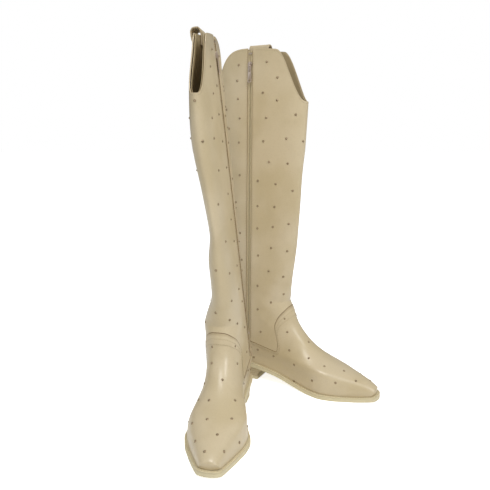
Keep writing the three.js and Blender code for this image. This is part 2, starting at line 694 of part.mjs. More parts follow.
  // Slider: a plate in front of the coils, one behind the tapes, and a post between them, drawn
  // as one outline in the plane across the slider, with the bail for the puller in front.
  const slider = zipFrame(BOOT_HEIGHT - SLIDER_DROP);
  const plateFace = 1.2;
  const backPlateFace = -(tapeBack + GAP);
  const backPlateEnd = -(LINING_DEPTH + LINING);
  const postHalf = COIL_GAP / 2 - GAP;
  const sliderHalf = SLIDER_WIDTH / 2;
  const bailUnder = plateFace + PULLER_THICKNESS + 2 * BAIL_CLEARANCE;
  const corners = (points) => points.map(([x, y]) => new THREE.Vector2(x, y));
  const extrude = (shape, depth) => {
    const body = new THREE.ExtrudeGeometry(shape, { depth, bevelEnabled: false });
    return body.translate(0, 0, -depth / 2);
  };
  const sliderBody = extrude(new THREE.Shape(corners([
    [-sliderHalf, onCoil], [-sliderHalf, plateFace], [sliderHalf, plateFace], [sliderHalf, onCoil],
    [postHalf, onCoil], [postHalf, backPlateFace], [sliderHalf, backPlateFace],
    [sliderHalf, backPlateEnd], [-sliderHalf, backPlateEnd], [-sliderHalf, backPlateFace],
    [-postHalf, backPlateFace], [-postHalf, onCoil],
  ])), SLIDER_LENGTH);
  const BAIL_HALF = 3.5;
  const BAIL_LEG = 1;
  const BAIL_WIDTH = 2.2;
  const bailFoot = plateFace - 0.4;
  const bailInside = BAIL_HALF - BAIL_LEG;
  const bail = extrude(new THREE.Shape(corners([
    [-BAIL_HALF, bailFoot], [-BAIL_HALF, bailUnder + BAIL_LEG], [BAIL_HALF, bailUnder + BAIL_LEG],
    [BAIL_HALF, bailFoot], [bailInside, bailFoot], [bailInside, bailUnder],
    [-bailInside, bailUnder], [-bailInside, bailFoot],
  ])), BAIL_WIDTH);
  inZip(slider, "zip_slider", unite(sliderBody, bail.rotateY(-Math.PI / 2)));

  // Puller: a bar under the bail, two arms beside it and a leaf with a hole in it.
  const puller = zipFrame(BOOT_HEIGHT - SLIDER_DROP);
  puller.translateY(plateFace + BAIL_CLEARANCE + PULLER_THICKNESS / 2);
  const barHalf = PULLER_THICKNESS / 2;
  const armHalf = 3.2;
  const eyeHalf = BAIL_WIDTH / 2 + 0.5;
  const eyeEnd = BAIL_HALF + 1;
  const leafHalf = 4;
  const leafEnd = barHalf - PULLER_LENGTH;
  const leafHole = 1.9;
  const arc = (radius, from, to, count) => steps(count).map((share) => {
    const angle = mix(from, to, share);
    return [radius * Math.cos(angle), leafEnd + leafHalf + radius * Math.sin(angle)];
  });
  const leaf = new THREE.Shape(corners([
    [-armHalf, barHalf], [-armHalf, -eyeEnd - 1], ...arc(leafHalf, Math.PI, 2 * Math.PI, 8),
    [armHalf, -eyeEnd - 1], [armHalf, barHalf],
  ]));
  const eye = [[-eyeHalf, -barHalf], [eyeHalf, -barHalf], [eyeHalf, -eyeEnd], [-eyeHalf, -eyeEnd]];
  leaf.holes.push(new THREE.Path(corners(eye)));
  leaf.holes.push(new THREE.Path(corners(arc(leafHole, 0, 2 * Math.PI, 12).slice(1))));
  inZip(puller, "zip_puller", extrude(leaf, PULLER_THICKNESS).rotateX(Math.PI / 2));

  // --- pull strap ---

  // The strap rises from the outer face, arches over the top and is sewn down inside. Each place
  // on it is an offset out from the leather face and a height above the top of the ear.
  const outerHold = 2 * GAP + STRAP_THICKNESS / 2;
  const innerHold = -(WALL + outerHold);
  const strapRoute = new THREE.CatmullRomCurve3([
    [outerHold, -STRAP_LEG], [outerHold, 6 - STRAP_LEG], [outerHold + 3.5, -18], [outerHold + 8, -4],
    [outerHold + 8.5, STRAP_RISE - 8], [outerHold + 4.5, STRAP_RISE - 1.8],
    [outerHold - 2.5, STRAP_RISE - 1], [innerHold + 0.4, STRAP_RISE - 7.5], [innerHold - 0.2, -5],
    [innerHold, -16],
  ].map(([out, rise]) => new THREE.Vector3(0, out, rise)), false, "centripetal");
  const faceAt = (z) => skin(2 * Math.PI - turnAt(ZIP_X, levelOf(z)), levelOf(Math.min(z, BOOT_HEIGHT)));
  const strapRings = steps(22).map((share) => {
    const spot = strapRoute.getPointAt(share);
    const along = strapRoute.getTangentAt(share);
    const across = new THREE.Vector3(0, along.z, -along.y).multiplyScalar(STRAP_THICKNESS / 2);
    return [[-1, -1], [1, -1], [1, 1], [-1, 1]].map(([end, face]) => {
      const place = spot.clone().addScaledVector(across, face);
      const z = BOOT_HEIGHT + place.z;
      const anchor = faceAt(z);
      const lift = z > BOOT_HEIGHT ? leanRise * (z - BOOT_HEIGHT) : 0;
      return new THREE.Vector3(anchor.x + (end * STRAP_WIDTH) / 2, anchor.y - lift - place.y, z);
    });
  });
  add("pull_strap", loft(strapRings), BEIGE);

  if (stance.mirrored) boot.scale.y = -1;
  const placed = new THREE.Group();
  placed.add(boot);
  placed.rotation.z = THREE.MathUtils.degToRad(stance.turn);
  placed.position.set(stance.x, stance.y, 0);
  return placed;
}

// --- the pair ---

const pair = new THREE.Group();
for (const stance of STANCES) pair.add(makeBoot(stance));

// The origin is under the middle of the pair, on the ground.
pair.updateMatrixWorld(true);
const bounds = new THREE.Box3().setFromObject(pair, true);
const middle = bounds.getCenter(new THREE.Vector3());
pair.position.set(-middle.x, -middle.y, -bounds.min.z);

export default pair;
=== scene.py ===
"""Looks of a pair of tall western boots: smooth beige leather, studs, side zip, stacked heel."""

import json
import logging
import math
from bisect import bisect_right
from collections.abc import Callable, Iterable, Sequence
from dataclasses import dataclass
from enum import Enum
from functools import cached_property, lru_cache

import bmesh
import bpy
from mathutils import Matrix, Vector

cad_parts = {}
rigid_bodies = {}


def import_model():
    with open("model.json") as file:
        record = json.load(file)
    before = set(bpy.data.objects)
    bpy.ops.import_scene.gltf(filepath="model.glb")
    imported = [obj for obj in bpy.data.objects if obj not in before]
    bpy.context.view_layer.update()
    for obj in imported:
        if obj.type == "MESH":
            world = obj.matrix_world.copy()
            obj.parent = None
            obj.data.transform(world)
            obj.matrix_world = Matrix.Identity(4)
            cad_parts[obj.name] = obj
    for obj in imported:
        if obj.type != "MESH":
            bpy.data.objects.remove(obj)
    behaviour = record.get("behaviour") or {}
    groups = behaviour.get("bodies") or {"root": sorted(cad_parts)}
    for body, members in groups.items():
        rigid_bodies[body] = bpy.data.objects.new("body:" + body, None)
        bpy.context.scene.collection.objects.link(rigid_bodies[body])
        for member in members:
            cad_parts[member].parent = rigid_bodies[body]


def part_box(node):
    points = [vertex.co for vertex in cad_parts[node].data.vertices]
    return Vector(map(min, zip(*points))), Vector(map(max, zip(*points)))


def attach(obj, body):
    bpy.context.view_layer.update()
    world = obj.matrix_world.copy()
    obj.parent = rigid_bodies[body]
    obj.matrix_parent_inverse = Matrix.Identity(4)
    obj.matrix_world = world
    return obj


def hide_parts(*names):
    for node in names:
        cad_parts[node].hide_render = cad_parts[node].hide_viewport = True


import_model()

LOG = logging.getLogger("boots")
MM = 0.001

# Sizes in millimetres, as the frame has them.
SOLE_LENGTH = 278
BOOT_HEIGHT = 588
FRONT_NOTCH, BACK_NOTCH, EAR_REACH = 90, 68, 13
# The scallops of the top, as shares: rounder ears and wider notches than the frame's.
BACK_SHARPNESS, EAR_SLOPE, EAR_END, NOTCH_LENGTH = 3.8, 0.11, 0.4, 0.58
HEEL_RISE = 27
BALL_HALF_WIDTH = 49
ANKLE_HEIGHT, ANKLE_FRONT, ANKLE_BACK = 150, 108, 10
GAP, LEATHER, LINING_DEPTH, LINING, WALL = 0.3, 1.6, 3.2, 0.8, 4.0
OUTSOLE, WELT, WELT_MARGIN, WELT_WIDTH = 5, 2.5, 4, 12
BOARD_BOTTOM = OUTSOLE + WELT + 2 * GAP
FOOTBED_BOTTOM, FOOTBED = BOARD_BOTTOM + 2.2 + GAP, 2
TOP_LIFT, BREAST_X, BREAST_SWEEP, HEEL_RADIUS = 6, 57, 9, 27
TOE_CORNER, TOE_SWING, TOE_LEVEL = 6.5, 9, 0.12
ZIP_X, ZIP_Y, ZIP_SLOT, ZIP_BOTTOM, ZIP_TOP = 40, 32, 9, 80, BOOT_HEIGHT - 4
COIL_GAP = 1
SLIDER_HEIGHT, PULLER_LENGTH = 561, 31
STRAP_WIDTH, STRAP_THICKNESS, STRAP_LEG, STRAP_RISE = 38, 1.8, 36, 10.5
SPREAD_START = 430
SCREW_X = 24
OVAL_POWER, ARCH_POWER = 2.7, 2.8
BACK_SEAM = 0.525


def clamp(value: float, low: float, high: float) -> float:
    """A value held between two ends."""
    return min(high, max(low, value))


def mix(a: float, b: float, share: float) -> float:
    """The value a share of the way from a to b."""
    return a + (b - a) * share


def ease(share: float) -> float:
    """A share with a soft start and end."""
    s = clamp(share, 0, 1)
    return s * s * (3 - 2 * s)


class Curve:
    """A smooth curve through points that never overshoots them."""

    def __init__(self, *points: tuple[float, float]) -> None:
        """Works out the slope at each point.

        Args:
            points: (position, value) pairs, in order of position.
        """
        self.xs = [p[0] for p in points]
        self.ys = [p[1] for p in points]
        steps = [b - a for a, b in zip(self.xs, self.xs[1:])]
        rises = [(b - a) / h for a, b, h in zip(self.ys, self.ys[1:], steps)]
        self.slopes = [rises[0]]
        for h0, h1, d0, d1 in zip(steps, steps[1:], rises, rises[1:]):
            flat = d0 * d1 <= 0
            self.slopes.append(0 if flat else 3 * (h0 + h1) / ((2 * h1 + h0) / d0 + (h1 + 2 * h0) / d1))
        self.slopes.append(rises[-1])

    def __call__(self, position: float) -> float:
        """Reads the curve.

        Args:
            position: where; past an end it stays at that end.

        Returns:
            The value there.
        """
        x = clamp(position, self.xs[0], self.xs[-1])
        i = min(len(self.xs) - 2, max(0, bisect_right(self.xs, x) - 1))
        h = self.xs[i + 1] - self.xs[i]
        t = (x - self.xs[i]) / h
        t2, t3 = t * t, t * t * t
        return (
            (2 * t3 - 3 * t2 + 1) * self.ys[i]
            + (t3 - 2 * t2 + t) * h * self.slopes[i]
            + (3 * t2 - 2 * t3) * self.ys[i + 1]
            + (t3 - t2) * h * self.slopes[i + 1]
        )


def round_end(distance: float, radius: float) -> float:
    """Share of the full width at a distance from a rounded end."""
    reach = clamp((radius - distance) / radius, 0, 1)
    return math.sqrt(max(0, 1 - reach * reach))


INNER_WIDTH = Curve(
    (0, 31), (30, 32), (60, 30.5), (95, 29), (130, 35), (160, 43.5),
    (185, BALL_HALF_WIDTH), (205, 45.5), (230, 35.5), (255, 24), (270, 17.5), (SOLE_LENGTH, 13.5),
)
OUTER_WIDTH = Curve(
    (0, 31), (30, 32), (60, 32), (95, 33.5), (130, 40), (160, 46),
    (180, BALL_HALF_WIDTH), (205, 45), (230, 36), (255, 25.5), (270, 18.5), (SOLE_LENGTH, 13.5),
)
RIDGE_X = Curve(
    (0, SOLE_LENGTH - 5.5), (TOE_LEVEL, SOLE_LENGTH - 5), (0.25, 262), (0.4, 235),
    (0.55, 200), (0.7, 163), (0.85, 130), (1, ANKLE_FRONT),
)
RIDGE_Z = Curve(
    (0, 12.6), (TOE_LEVEL, 21), (0.25, 30), (0.4, 40),
    (0.55, 51), (0.7, 70), (0.85, 102), (1, ANKLE_HEIGHT),
)
HEEL_BACK_X = Curve(
    (0, 5), (TOE_LEVEL, 1.5), (0.25, 0), (0.4, 0.5),
    (0.55, 2.5), (0.7, 5), (0.85, 7.5), (1, ANKLE_BACK),
)
HEEL_BACK_Z = Curve(
    (0, 34.6), (TOE_LEVEL, 42), (0.25, 52), (0.4, 66),
    (0.55, 83), (0.7, 102), (0.85, 125), (1, ANKLE_HEIGHT),
)
BEHIND_ANKLE = Curve((-40, 5), (32, 3), (72, 2), (ANKLE_FRONT, 1))
SHIN_X = Curve(
    (ANKLE_HEIGHT, ANKLE_FRONT), (205, 117), (250, 123), (307, 129), (378, 131.5),
    (422, 135), (500, 138), (BOOT_HEIGHT + 20, 139),
)
CALF_X = Curve(
    (ANKLE_HEIGHT, ANKLE_BACK), (220, 2), (300, -9), (400, -24), (500, -31), (BOOT_HEIGHT + 20, -33),
)
SHAFT_HALF_WIDTH = Curve(
    (ANKLE_HEIGHT, 32), (200, 22.5), (250, 21.2), (300, 16.5), (350, 18),
    (430, 21.4), (500, 20.5), (560, 16), (BOOT_HEIGHT + 20, 13),
)
HALF_SEAM = Curve(
    (0, 0.525), (0.06, 0.5), (0.11, 0.478), (0.135, 0.58), (0.2, 0.86), (0.3, 0.94), (0.43, 0.972),
    (0.5, 0.975),
)


def _ridge_table(step: float) -> list[float]:
    """Levels at which the ridge of the foot stands over each x, by halving.

    Args:
        step: from x to x, in millimetres.

    Returns:
        A level for each x from the front of the ankle.
    """
    table = []
    x = ANKLE_FRONT
    while x <= SOLE_LENGTH + step:
        low, high = TOE_LEVEL, 1.0
        for _ in range(30):
            middle = (low + high) / 2
            low, high = (middle, high) if RIDGE_X(middle) > x else (low, middle)
        table.append(high)
        x += step
    return table


RIDGE_STEP = 0.5
RIDGE_LEVELS = _ridge_table(RIDGE_STEP)


def ridge_level_at(x: float) -> float:
    """Level at which the two sides of the foot meet over x; it is over 1 behind the ankle's front.

    Args:
        x: distance from the heel.

    Returns:
        The level.
    """
    if x <= ANKLE_FRONT:
        return BEHIND_ANKLE(x)
    place = clamp((x - ANKLE_FRONT) / RIDGE_STEP, 0, len(RIDGE_LEVELS) - 1.001)
    i = int(place)
    return mix(RIDGE_LEVELS[i], RIDGE_LEVELS[i + 1], place - i)


def sole_z(x: float) -> float:
    """Height of the sole's underside: it climbs to the heel, and a little at the toe."""
    return HEEL_RISE * ease((172 - x) / 152) + 4 * max(0, (x - 235) / 43) ** 2


def feather_z(x: float) -> float:
    """Height at which the upper starts, over the welt."""
    return sole_z(x) + OUTSOLE + WELT + 2 * GAP


def toe_swing(x: float) -> float:
    """How far the middle of the foot bends to the inner side."""
    return TOE_SWING * max(0, (x - 110) / 168) ** 2


def side_width(x: float, side: int) -> float:
    """Distance from the foot's line to the sole's edge on one side."""
    return (INNER_WIDTH if side > 0 else OUTER_WIDTH)(x)


def sole_half_width(x: float, side: int, margin: float) -> float:
    """Half width of the sole on one side, with its rounded ends.

    Args:
        x: distance from the heel.
        side: 1 for the inner side, -1 for the outer.
        margin: in from the sole's edge.

    Returns:
        The width in millimetres.
    """
    ends = round_end(x - margin, HEEL_RADIUS - margin) * round_end(SOLE_LENGTH - margin - x, TOE_CORNER)
    return (side_width(x, side) - margin) * ends


@dataclass(frozen=True)
class LevelShape:
    """Ends, half width and mid line of one level of the upper."""

    front: float
    back: float
    half: float
    wrap: float
    middle: float
    z: float


@lru_cache(maxsize=4096)
def level_shape(level: float) -> LevelShape:
    """Shape of one level of the upper.

    Args:
        level: as for upper_point.

    Returns:
        The shape; its z is 0 below the ankle, where the height changes along the level.
    """
    if level < 1:
        wrap = ease((level - 0.45) / 0.55)
        half = SHAFT_HALF_WIDTH(ANKLE_HEIGHT) + 4 * (1 - level)
        return LevelShape(RIDGE_X(level), HEEL_BACK_X(level), half, wrap, (ZIP_Y - half) * wrap, 0)
    z = ANKLE_HEIGHT + (level - 1) * (BOOT_HEIGHT - ANKLE_HEIGHT)
    half = SHAFT_HALF_WIDTH(z)
    return LevelShape(SHIN_X(z), CALF_X(z), half, 1, ZIP_Y - half, z)


def oval_share(x: float, shape: LevelShape) -> float:
    """Share of the half width at x on the shaft's oval.

    Args:
        x: distance from the heel.
        shape: the level.

    Returns:
        The share, 0 to 1.
    """
    reach = shape.front - ZIP_X if x > ZIP_X else ZIP_X - shape.back
    return math.sqrt(max(0, 1 - min(1, abs(x - ZIP_X) / reach) ** OVAL_POWER))


def foot_half_width(x: float, side: int, level: float, shape: LevelShape) -> float:
    """Half width of the foot on one side, under its arch.

    Args:
        x: distance from the heel.
        side: 1 for the inner side, -1 for the outer.
        level: 0 to 1.
        shape: the level.

    Returns:
        The width in millimetres.
    """
    width = side_width(x, side) - WELT_MARGIN
    heel_end = round_end(x - shape.back, HEEL_RADIUS - WELT_MARGIN)
    toe_end = 1.0
    if level < TOE_LEVEL:
        toe_end = round_end(shape.front - x, max(TOE_CORNER * (1 - level / TOE_LEVEL), 1e-3))
    arch = max(0, 1 - min(1, level / ridge_level_at(x)) ** ARCH_POWER)
    return width * heel_end * toe_end * math.sqrt(arch)


def upper_point(turn: float, level: float) -> Vector:
    """Outer face of the upper, in the boot's own frame.

    Args:
        turn: 0 at the back, pi at the front, 2 pi at the back again; the inner side comes first.
        level: 0 at the sole, 1 at the ankle, 2 at the top of the ears.

    Returns:
        The point in millimetres, before the shaft leans.
    """
    shape = level_shape(level)
    side = -1 if math.sin(turn) < 0 else 1
    share = (1 - math.cos(turn)) / 2
    x = mix(shape.back, shape.front, share)
    if level >= 1:
        return Vector((x, shape.middle + side * shape.half * oval_share(x, shape), shape.z))

    def half(at: float) -> float:
        """Half width at a place, from the foot to the oval of the shaft."""
        oval = shape.half * oval_share(at, shape)
        return mix(foot_half_width(at, side, level, shape), oval, shape.wrap)

    width = half(x)
    if side > 0:
        reach = ease((level - 0.2) / 0.3)
        if reach > 0:
            at_zip = half(ZIP_X)
            width *= 1 + reach * (ZIP_Y - shape.middle - at_zip) / at_zip
    flat = mix(HEEL_BACK_Z(level), RIDGE_Z(level), share)
    seat = feather_z(x) - mix(HEEL_BACK_Z(0), RIDGE_Z(0), share)
    middle = shape.middle + toe_swing(x) * (1 - shape.wrap)
    return Vector((x, middle + side * width, flat + seat * (1 - level) ** 2))


def turn_at(x: float, level: float) -> float:
    """Turn at which a level crosses x, on the inner side."""
    shape = level_shape(level)
    return math.acos(clamp(1 - 2 * (x - shape.back) / (shape.front - shape.back), -1, 1))


def level_of(z: float) -> float:
    """Level of a height on the shaft."""
    return 1 + (z - ANKLE_HEIGHT) / (BOOT_HEIGHT - ANKLE_HEIGHT)


def zip_level(z: float) -> float:
    """Level at the line of the zip for a height.

    Args:
        z: the height.

    Returns:
        The level.
    """
    if z >= ANKLE_HEIGHT:
        return level_of(z)
    low, high = 0.0, 1.0
    for _ in range(30):
        middle = (low + high) / 2
        below = upper_point(turn_at(ZIP_X, middle), middle).z < z
        low, high = (middle, high) if below else (low, middle)
    return low


def top_level(turn: float) -> float:
    """Level of the scalloped top at a place round the shaft.

    Args:
        turn: as for upper_point.

    Returns:
        The level.
    """
    shape = level_shape(1.85)
    x = mix(shape.back, shape.front, (1 - math.cos(turn)) / 2)
    ear_end = ZIP_X + EAR_REACH
    front = (x - ear_end) / (shape.front - ear_end)
    back = max(0, (ZIP_X - x) / (ZIP_X - shape.back))
    if front <= 0:
        return level_of(BOOT_HEIGHT - BACK_NOTCH * back**BACK_SHARPNESS)
    fall = mix(ease((front - EAR_END) / NOTCH_LENGTH), front, EAR_SLOPE)
    return level_of(BOOT_HEIGHT - FRONT_NOTCH * fall)


def front_seam(u: float) -> float:
    """Level of the front seam for a share of the way round."""
    return HALF_SEAM(min(u, 1 - u))


def crease(point: Vector) -> float:
    """Soft folds of worn leather, as a height over the smooth face: most at the ankle, none by the zip.

    Args:
        point: a place on the smooth face.

    Returns:
        The height in millimetres.
    """
    x, y, z = point
    loose = ease((math.hypot(x - ZIP_X, min(0, y - ZIP_Y)) - 6) / 24)
    ankle = math.exp(-(((z - 135) / 42) ** 2))
    fold = math.sin(z * 0.21 + 0.045 * x + math.sin(x * 0.06 + y * 0.05) * 1.4)
    fall = math.sin(x * 0.075 + 0.9 * math.sin(z * 0.011)) * math.sin(z * 0.017 + 1.3)
    return loose * (0.35 * ankle * fold + 0.3 * fall * ease((z - 160) / 80))


class Side(Enum):
    """The two boots: the way each is turned, leaned and pitched, in degrees, and how far its top spreads."""

    RIGHT = ("right", -98.5, 6.0, -1.8, -0.26, 1)
    LEFT = ("left", -27.0, 2.7, 0.9, 0.36, -1)

    def __init__(self, label: str, turn: float, lean: float, pitch: float, spread: float, hand: int) -> None:
        """Turns the angles to what the boots need.

        Args:
            label: start of the names of its pieces.
            turn: about the vertical.
            lean: to the inner side.
            pitch: forwards.
            spread: share that the outer side moves out by at the top.
            hand: -1 mirrors the boot.
        """
        self.label = label
        self.turn = math.radians(turn)
        self.lean_rise = math.tan(math.radians(lean))
        self.pitch_rise = math.tan(math.radians(pitch))
        self.spread = spread
        self.hand = hand


class Boot:
    """One boot's frame and the surface that all of its pieces lie on."""

    def __init__(self, side: Side) -> None:
        """Finds the boot's place from its heel screw.

        Args:
            side: which boot.
        """
        self.side = side
        low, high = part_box(self.node("heel_screw"))
        spin = Matrix.Rotation(side.turn, 3, "Z")
        centre = (Vector(low) + Vector(high)) / 2
        self.origin = Vector((centre.x, centre.y, 0)) - spin @ Vector((SCREW_X, 0, 0)) * MM
        self.spin = spin @ Matrix.Diagonal((1, side.hand, 1))

    def node(self, name: str) -> str:
        """Name of this boot's piece."""
        return f"{self.side.label}_{name}"

    def world(self, point: Vector) -> Vector:
        """World place of a point of the boot."""
        return self.origin + (self.spin @ point) * MM

    def direction(self, vector: Vector) -> Vector:
        """World direction of a direction of the boot."""
        return self.spin @ vector

    def hang(self, point: Vector) -> Vector:
        """Leans a point over, with a bend from 40 to 80 mm up, and spreads the soft top from the zip.

        Args:
            point: a point of the upright boot.

        Returns:
            The point of the standing boot.
        """
        z = point.z
        reach = z - 60 if z > 80 else max(0, z - 40) ** 2 / 80
        widened = 1 + self.side.spread * ease((z - SPREAD_START) / (BOOT_HEIGHT - SPREAD_START))
        y = ZIP_Y - (ZIP_Y - point.y) * widened - self.side.lean_rise * reach
        return Vector((point.x - self.side.pitch_rise * reach, y, z))

    def skin(self, turn: float, level: float) -> Vector:
        """The smooth outer face, leaned and spread, in millimetres."""
        return self.hang(upper_point(turn, level))

    def spot(self, turn: float, level: float, height: float = 0) -> tuple[Vector, Vector]:
        """A world point over the leather and the way out of it, with the leather's soft folds.

        Args:
            turn: as for upper_point.
            level: as for upper_point.
            height: over the leather, in millimetres.

        Returns:
            The place and the direction.
        """
        low = max(level - 0.004, 0)
        along = self.skin(turn, low + 0.008) - self.skin(turn, low)
        around = self.skin(turn + 0.01, level) - self.skin(turn - 0.01, level)
        out = along.cross(around).normalized()
        flat = upper_point(turn, level)
        place = self.hang(flat) + out * (height + crease(flat))
        return self.world(place), self.direction(out).normalized()

    @cached_property
    def zip_frame(self) -> Matrix:
        """World frame of the zip at height 0: across it, out of the leather, and up along it."""
        low, high = (self.hang(Vector((ZIP_X, ZIP_Y, z))) for z in (100, 200))
        up = (high - low).normalized()
        out = up.cross(Vector((1, 0, 0))).normalized()
        across = out.cross(up)
        base = low - up * (100 / up.z)
        columns = [self.direction(v) for v in (across, out, up)] + [self.world(base)]
        return Matrix([[*(c[i] for c in columns)] for i in range(3)] + [[0, 0, 0, 1]])

    def in_zip(self, z: float) -> Matrix:
        """World frame of the zip at a height, in which lengths are in metres.

        Args:
            z: the height, in millimetres.

        Returns:
            The frame.
        """
        frame_ = self.zip_frame
        up = frame_.col[2].to_3d()
        return Matrix.Translation(up * (z * MM / up.z)) @ frame_


Turn = Callable[[float, float], float]


def front_turn(u: float, level: float) -> float:
    """Turn for a share of the way from the zip round the front to the outer side."""
    return mix(turn_at(ZIP_X + ZIP_SLOT / 2, level), 2 * math.pi - turn_at(ZIP_X + GAP / 2, level), u)


def back_turn(u: float, level: float) -> float:
    """Turn for a share of the way from the outer side round the back to the zip."""
    return 2 * math.pi + mix(-turn_at(ZIP_X - GAP / 2, level), turn_at(ZIP_X - ZIP_SLOT / 2, level), u)


CLOSING = 0.03  # share of the foot's width that closes below the zip


def vamp_turn(u: float, level: float) -> float:
    """As front_turn, but the first columns close the slot below the zip.

    Args:
        u: share of the columns.
        level: the level.

    Returns:
        The turn.
    """
    if u >= CLOSING:
        return front_turn(u, level)
    return mix(turn_at(ZIP_X + GAP / 2, level), front_turn(CLOSING, level), u / CLOSING)


def counter_turn(u: float, level: float) -> float:
    """As back_turn, but the last columns close the slot below the zip.

    Args:
        u: share of the columns.
        level: the level.

    Returns:
        The turn.
    """
    if u <= 1 - CLOSING:
        return back_turn(u, level)
    end = 2 * math.pi + turn_at(ZIP_X - GAP / 2, level)
    return mix(back_turn(1 - CLOSING, level), end, (u - 1 + CLOSING) / CLOSING)


def shaft_level(start: float, end: float, v: float, below: float = 0.27, crowding: float = 1.3) -> float:
    """Level of a shaft's row: a share of the rows lies below the ankle, and the rest crowd to the top.

    Args:
        start: level of the first row.
        end: level of the last row.
        v: share of the rows.
        below: share of them below the ankle.
        crowding: over 1 crowds the rest to the top.

    Returns:
        The level.
    """
    if v <= below:
        return mix(start, 1, v / below)
    return mix(1, end, 1 - (1 - (v - below) / (1 - below)) ** crowding)


# --- finishes ---


def linear(code: str) -> tuple[float, float, float, float]:
    """An sRGB hex colour as linear light, the form in which node sockets take it.

    Args:
        code: the colour, with #.

    Returns:
        Red, green, blue and alpha.
    """
    parts = (int(code[i : i + 2], 16) / 255 for i in (1, 3, 5))
    return (*(p / 12.92 if p <= 0.04045 else ((p + 0.055) / 1.055) ** 2.4 for p in parts), 1)


SOFT = {"interpolation_type": "SMOOTHSTEP"}
COLOURS = {"data_type": "RGBA"}
COLOUR_OUT = 2  # the output of a mixing node that carries a colour


def each(size_mm: float) -> float:
    """Scale of a pattern whose features are this many millimetres across."""
    return 1 / (size_mm * MM)


class Shader:
    """A material's node tree, with a short way to add to it."""

    def __init__(self, name: str) -> None:
        """Starts a material.

        Args:
            name: what it is called.
        """
        self.material = bpy.data.materials.new(name)
        self.material.use_nodes = True
        self.tree = self.material.node_tree
        self.surface = self.tree.nodes["Principled BSDF"]
        self.place = self.add("ShaderNodeTexCoord", out="Object")

    def add(
        self, kind: str, settings: dict | None = None, out: str | int = 0, **inputs: object
    ) -> bpy.types.NodeSocket:
        """Adds a node with its settings and links.

        Args:
            kind: Blender's node type.
            settings: attributes of the node itself.
            out: which of its outputs is wanted.
            inputs: as for put.

        Returns:
            The output.
        """
        node = self.tree.nodes.new(kind)
        for key, value in (settings or {}).items():
            setattr(node, key, value)
        self.put(node, **inputs)
        return node.outputs[out]

    def put(self, node: bpy.types.Node, **inputs: object) -> None:
        """Gives a node's inputs their values and links.

        Args:
            node: the node.
            inputs: socket identifiers, or names with _ for a space, and a value or an output for each.
        """
        for key, value in inputs.items():
            same = [socket for socket in node.inputs if socket.identifier == key]
            socket = same[0] if same else node.inputs[key.replace("_", " ")]
            if isinstance(value, bpy.types.NodeSocket):
                self.tree.links.new(value, socket)
            else:
                socket.default_value = value

    def relief(self, *layers: tuple[bpy.types.NodeSocket, float]) -> None:
        """Lays relief on the surface, one layer over the next.

        Args:
            layers: an output that gives the height, and the height in millimetres of each.
        """
        under = {}
        for height, size_mm in layers:
            under["Normal"] = self.add(
                "ShaderNodeBump", Height=height, Distance=size_mm * MM, Strength=1.0, **under
            )
        self.put(self.surface, **under)


@dataclass(frozen=True)
class Leather:
    """Chrome-tanned cowhide: fine pores, a soft sheen, darker where an edge is turned and rubbed."""

    name: str
    colour: str
    patch: str
    rim: str
    roughness: float = 0.34
    pore_mm: float = 0.9
    coat: float = 0.3

    def build(self) -> bpy.types.Material:
        """Makes the material."""
        s = Shader(self.name)
        cloud = s.add("ShaderNodeTexNoise", Vector=s.place, Scale=each(70), Detail=3)
        speck = s.add("ShaderNodeTexNoise", Vector=s.place, Scale=each(2.2), Detail=4, Roughness=0.6)
        edge = s.add("ShaderNodeAttribute", {"attribute_name": "edge"}, "Fac")
        patches = s.add("ShaderNodeMapRange", SOFT, Value=cloud, From_Min=0.35, From_Max=0.7)
        specks = s.add("ShaderNodeMapRange", SOFT, Value=speck, From_Min=0.45, From_Max=0.75, To_Max=0.12)
        rubbed = s.add(
            "ShaderNodeMapRange", SOFT, Value=edge, From_Min=0.2, From_Max=1.3, To_Min=0.4, To_Max=0
        )
        rough = s.add(
            "ShaderNodeMapRange", SOFT, Value=cloud, From_Min=0.3, From_Max=0.7,
            To_Min=self.roughness - 0.04, To_Max=self.roughness + 0.06,
        )
        colour = linear(self.colour)
        for share, code in ((patches, self.patch), (specks, self.rim), (rubbed, self.rim)):
            colour = s.add(
                "ShaderNodeMix", COLOURS, COLOUR_OUT, Factor_Float=share, A_Color=colour, B_Color=linear(code)
            )
        s.put(s.surface, Base_Color=colour, Roughness=rough, IOR=1.48)
        s.put(s.surface, Coat_Weight=self.coat, Coat_Roughness=0.22)
        pores = s.add(
            "ShaderNodeTexVoronoi", {"feature": "SMOOTH_F1"}, Vector=s.place, Scale=each(self.pore_mm),
            Smoothness=0.6,
        )
        grain = s.add("ShaderNodeTexNoise", Vector=s.place, Scale=each(0.35), Detail=3)
        waves = s.add("ShaderNodeTexNoise", Vector=s.place, Scale=each(9), Detail=2)
        s.relief((pores, 0.05), (grain, 0.02), (waves, 0.1))
        return s.material


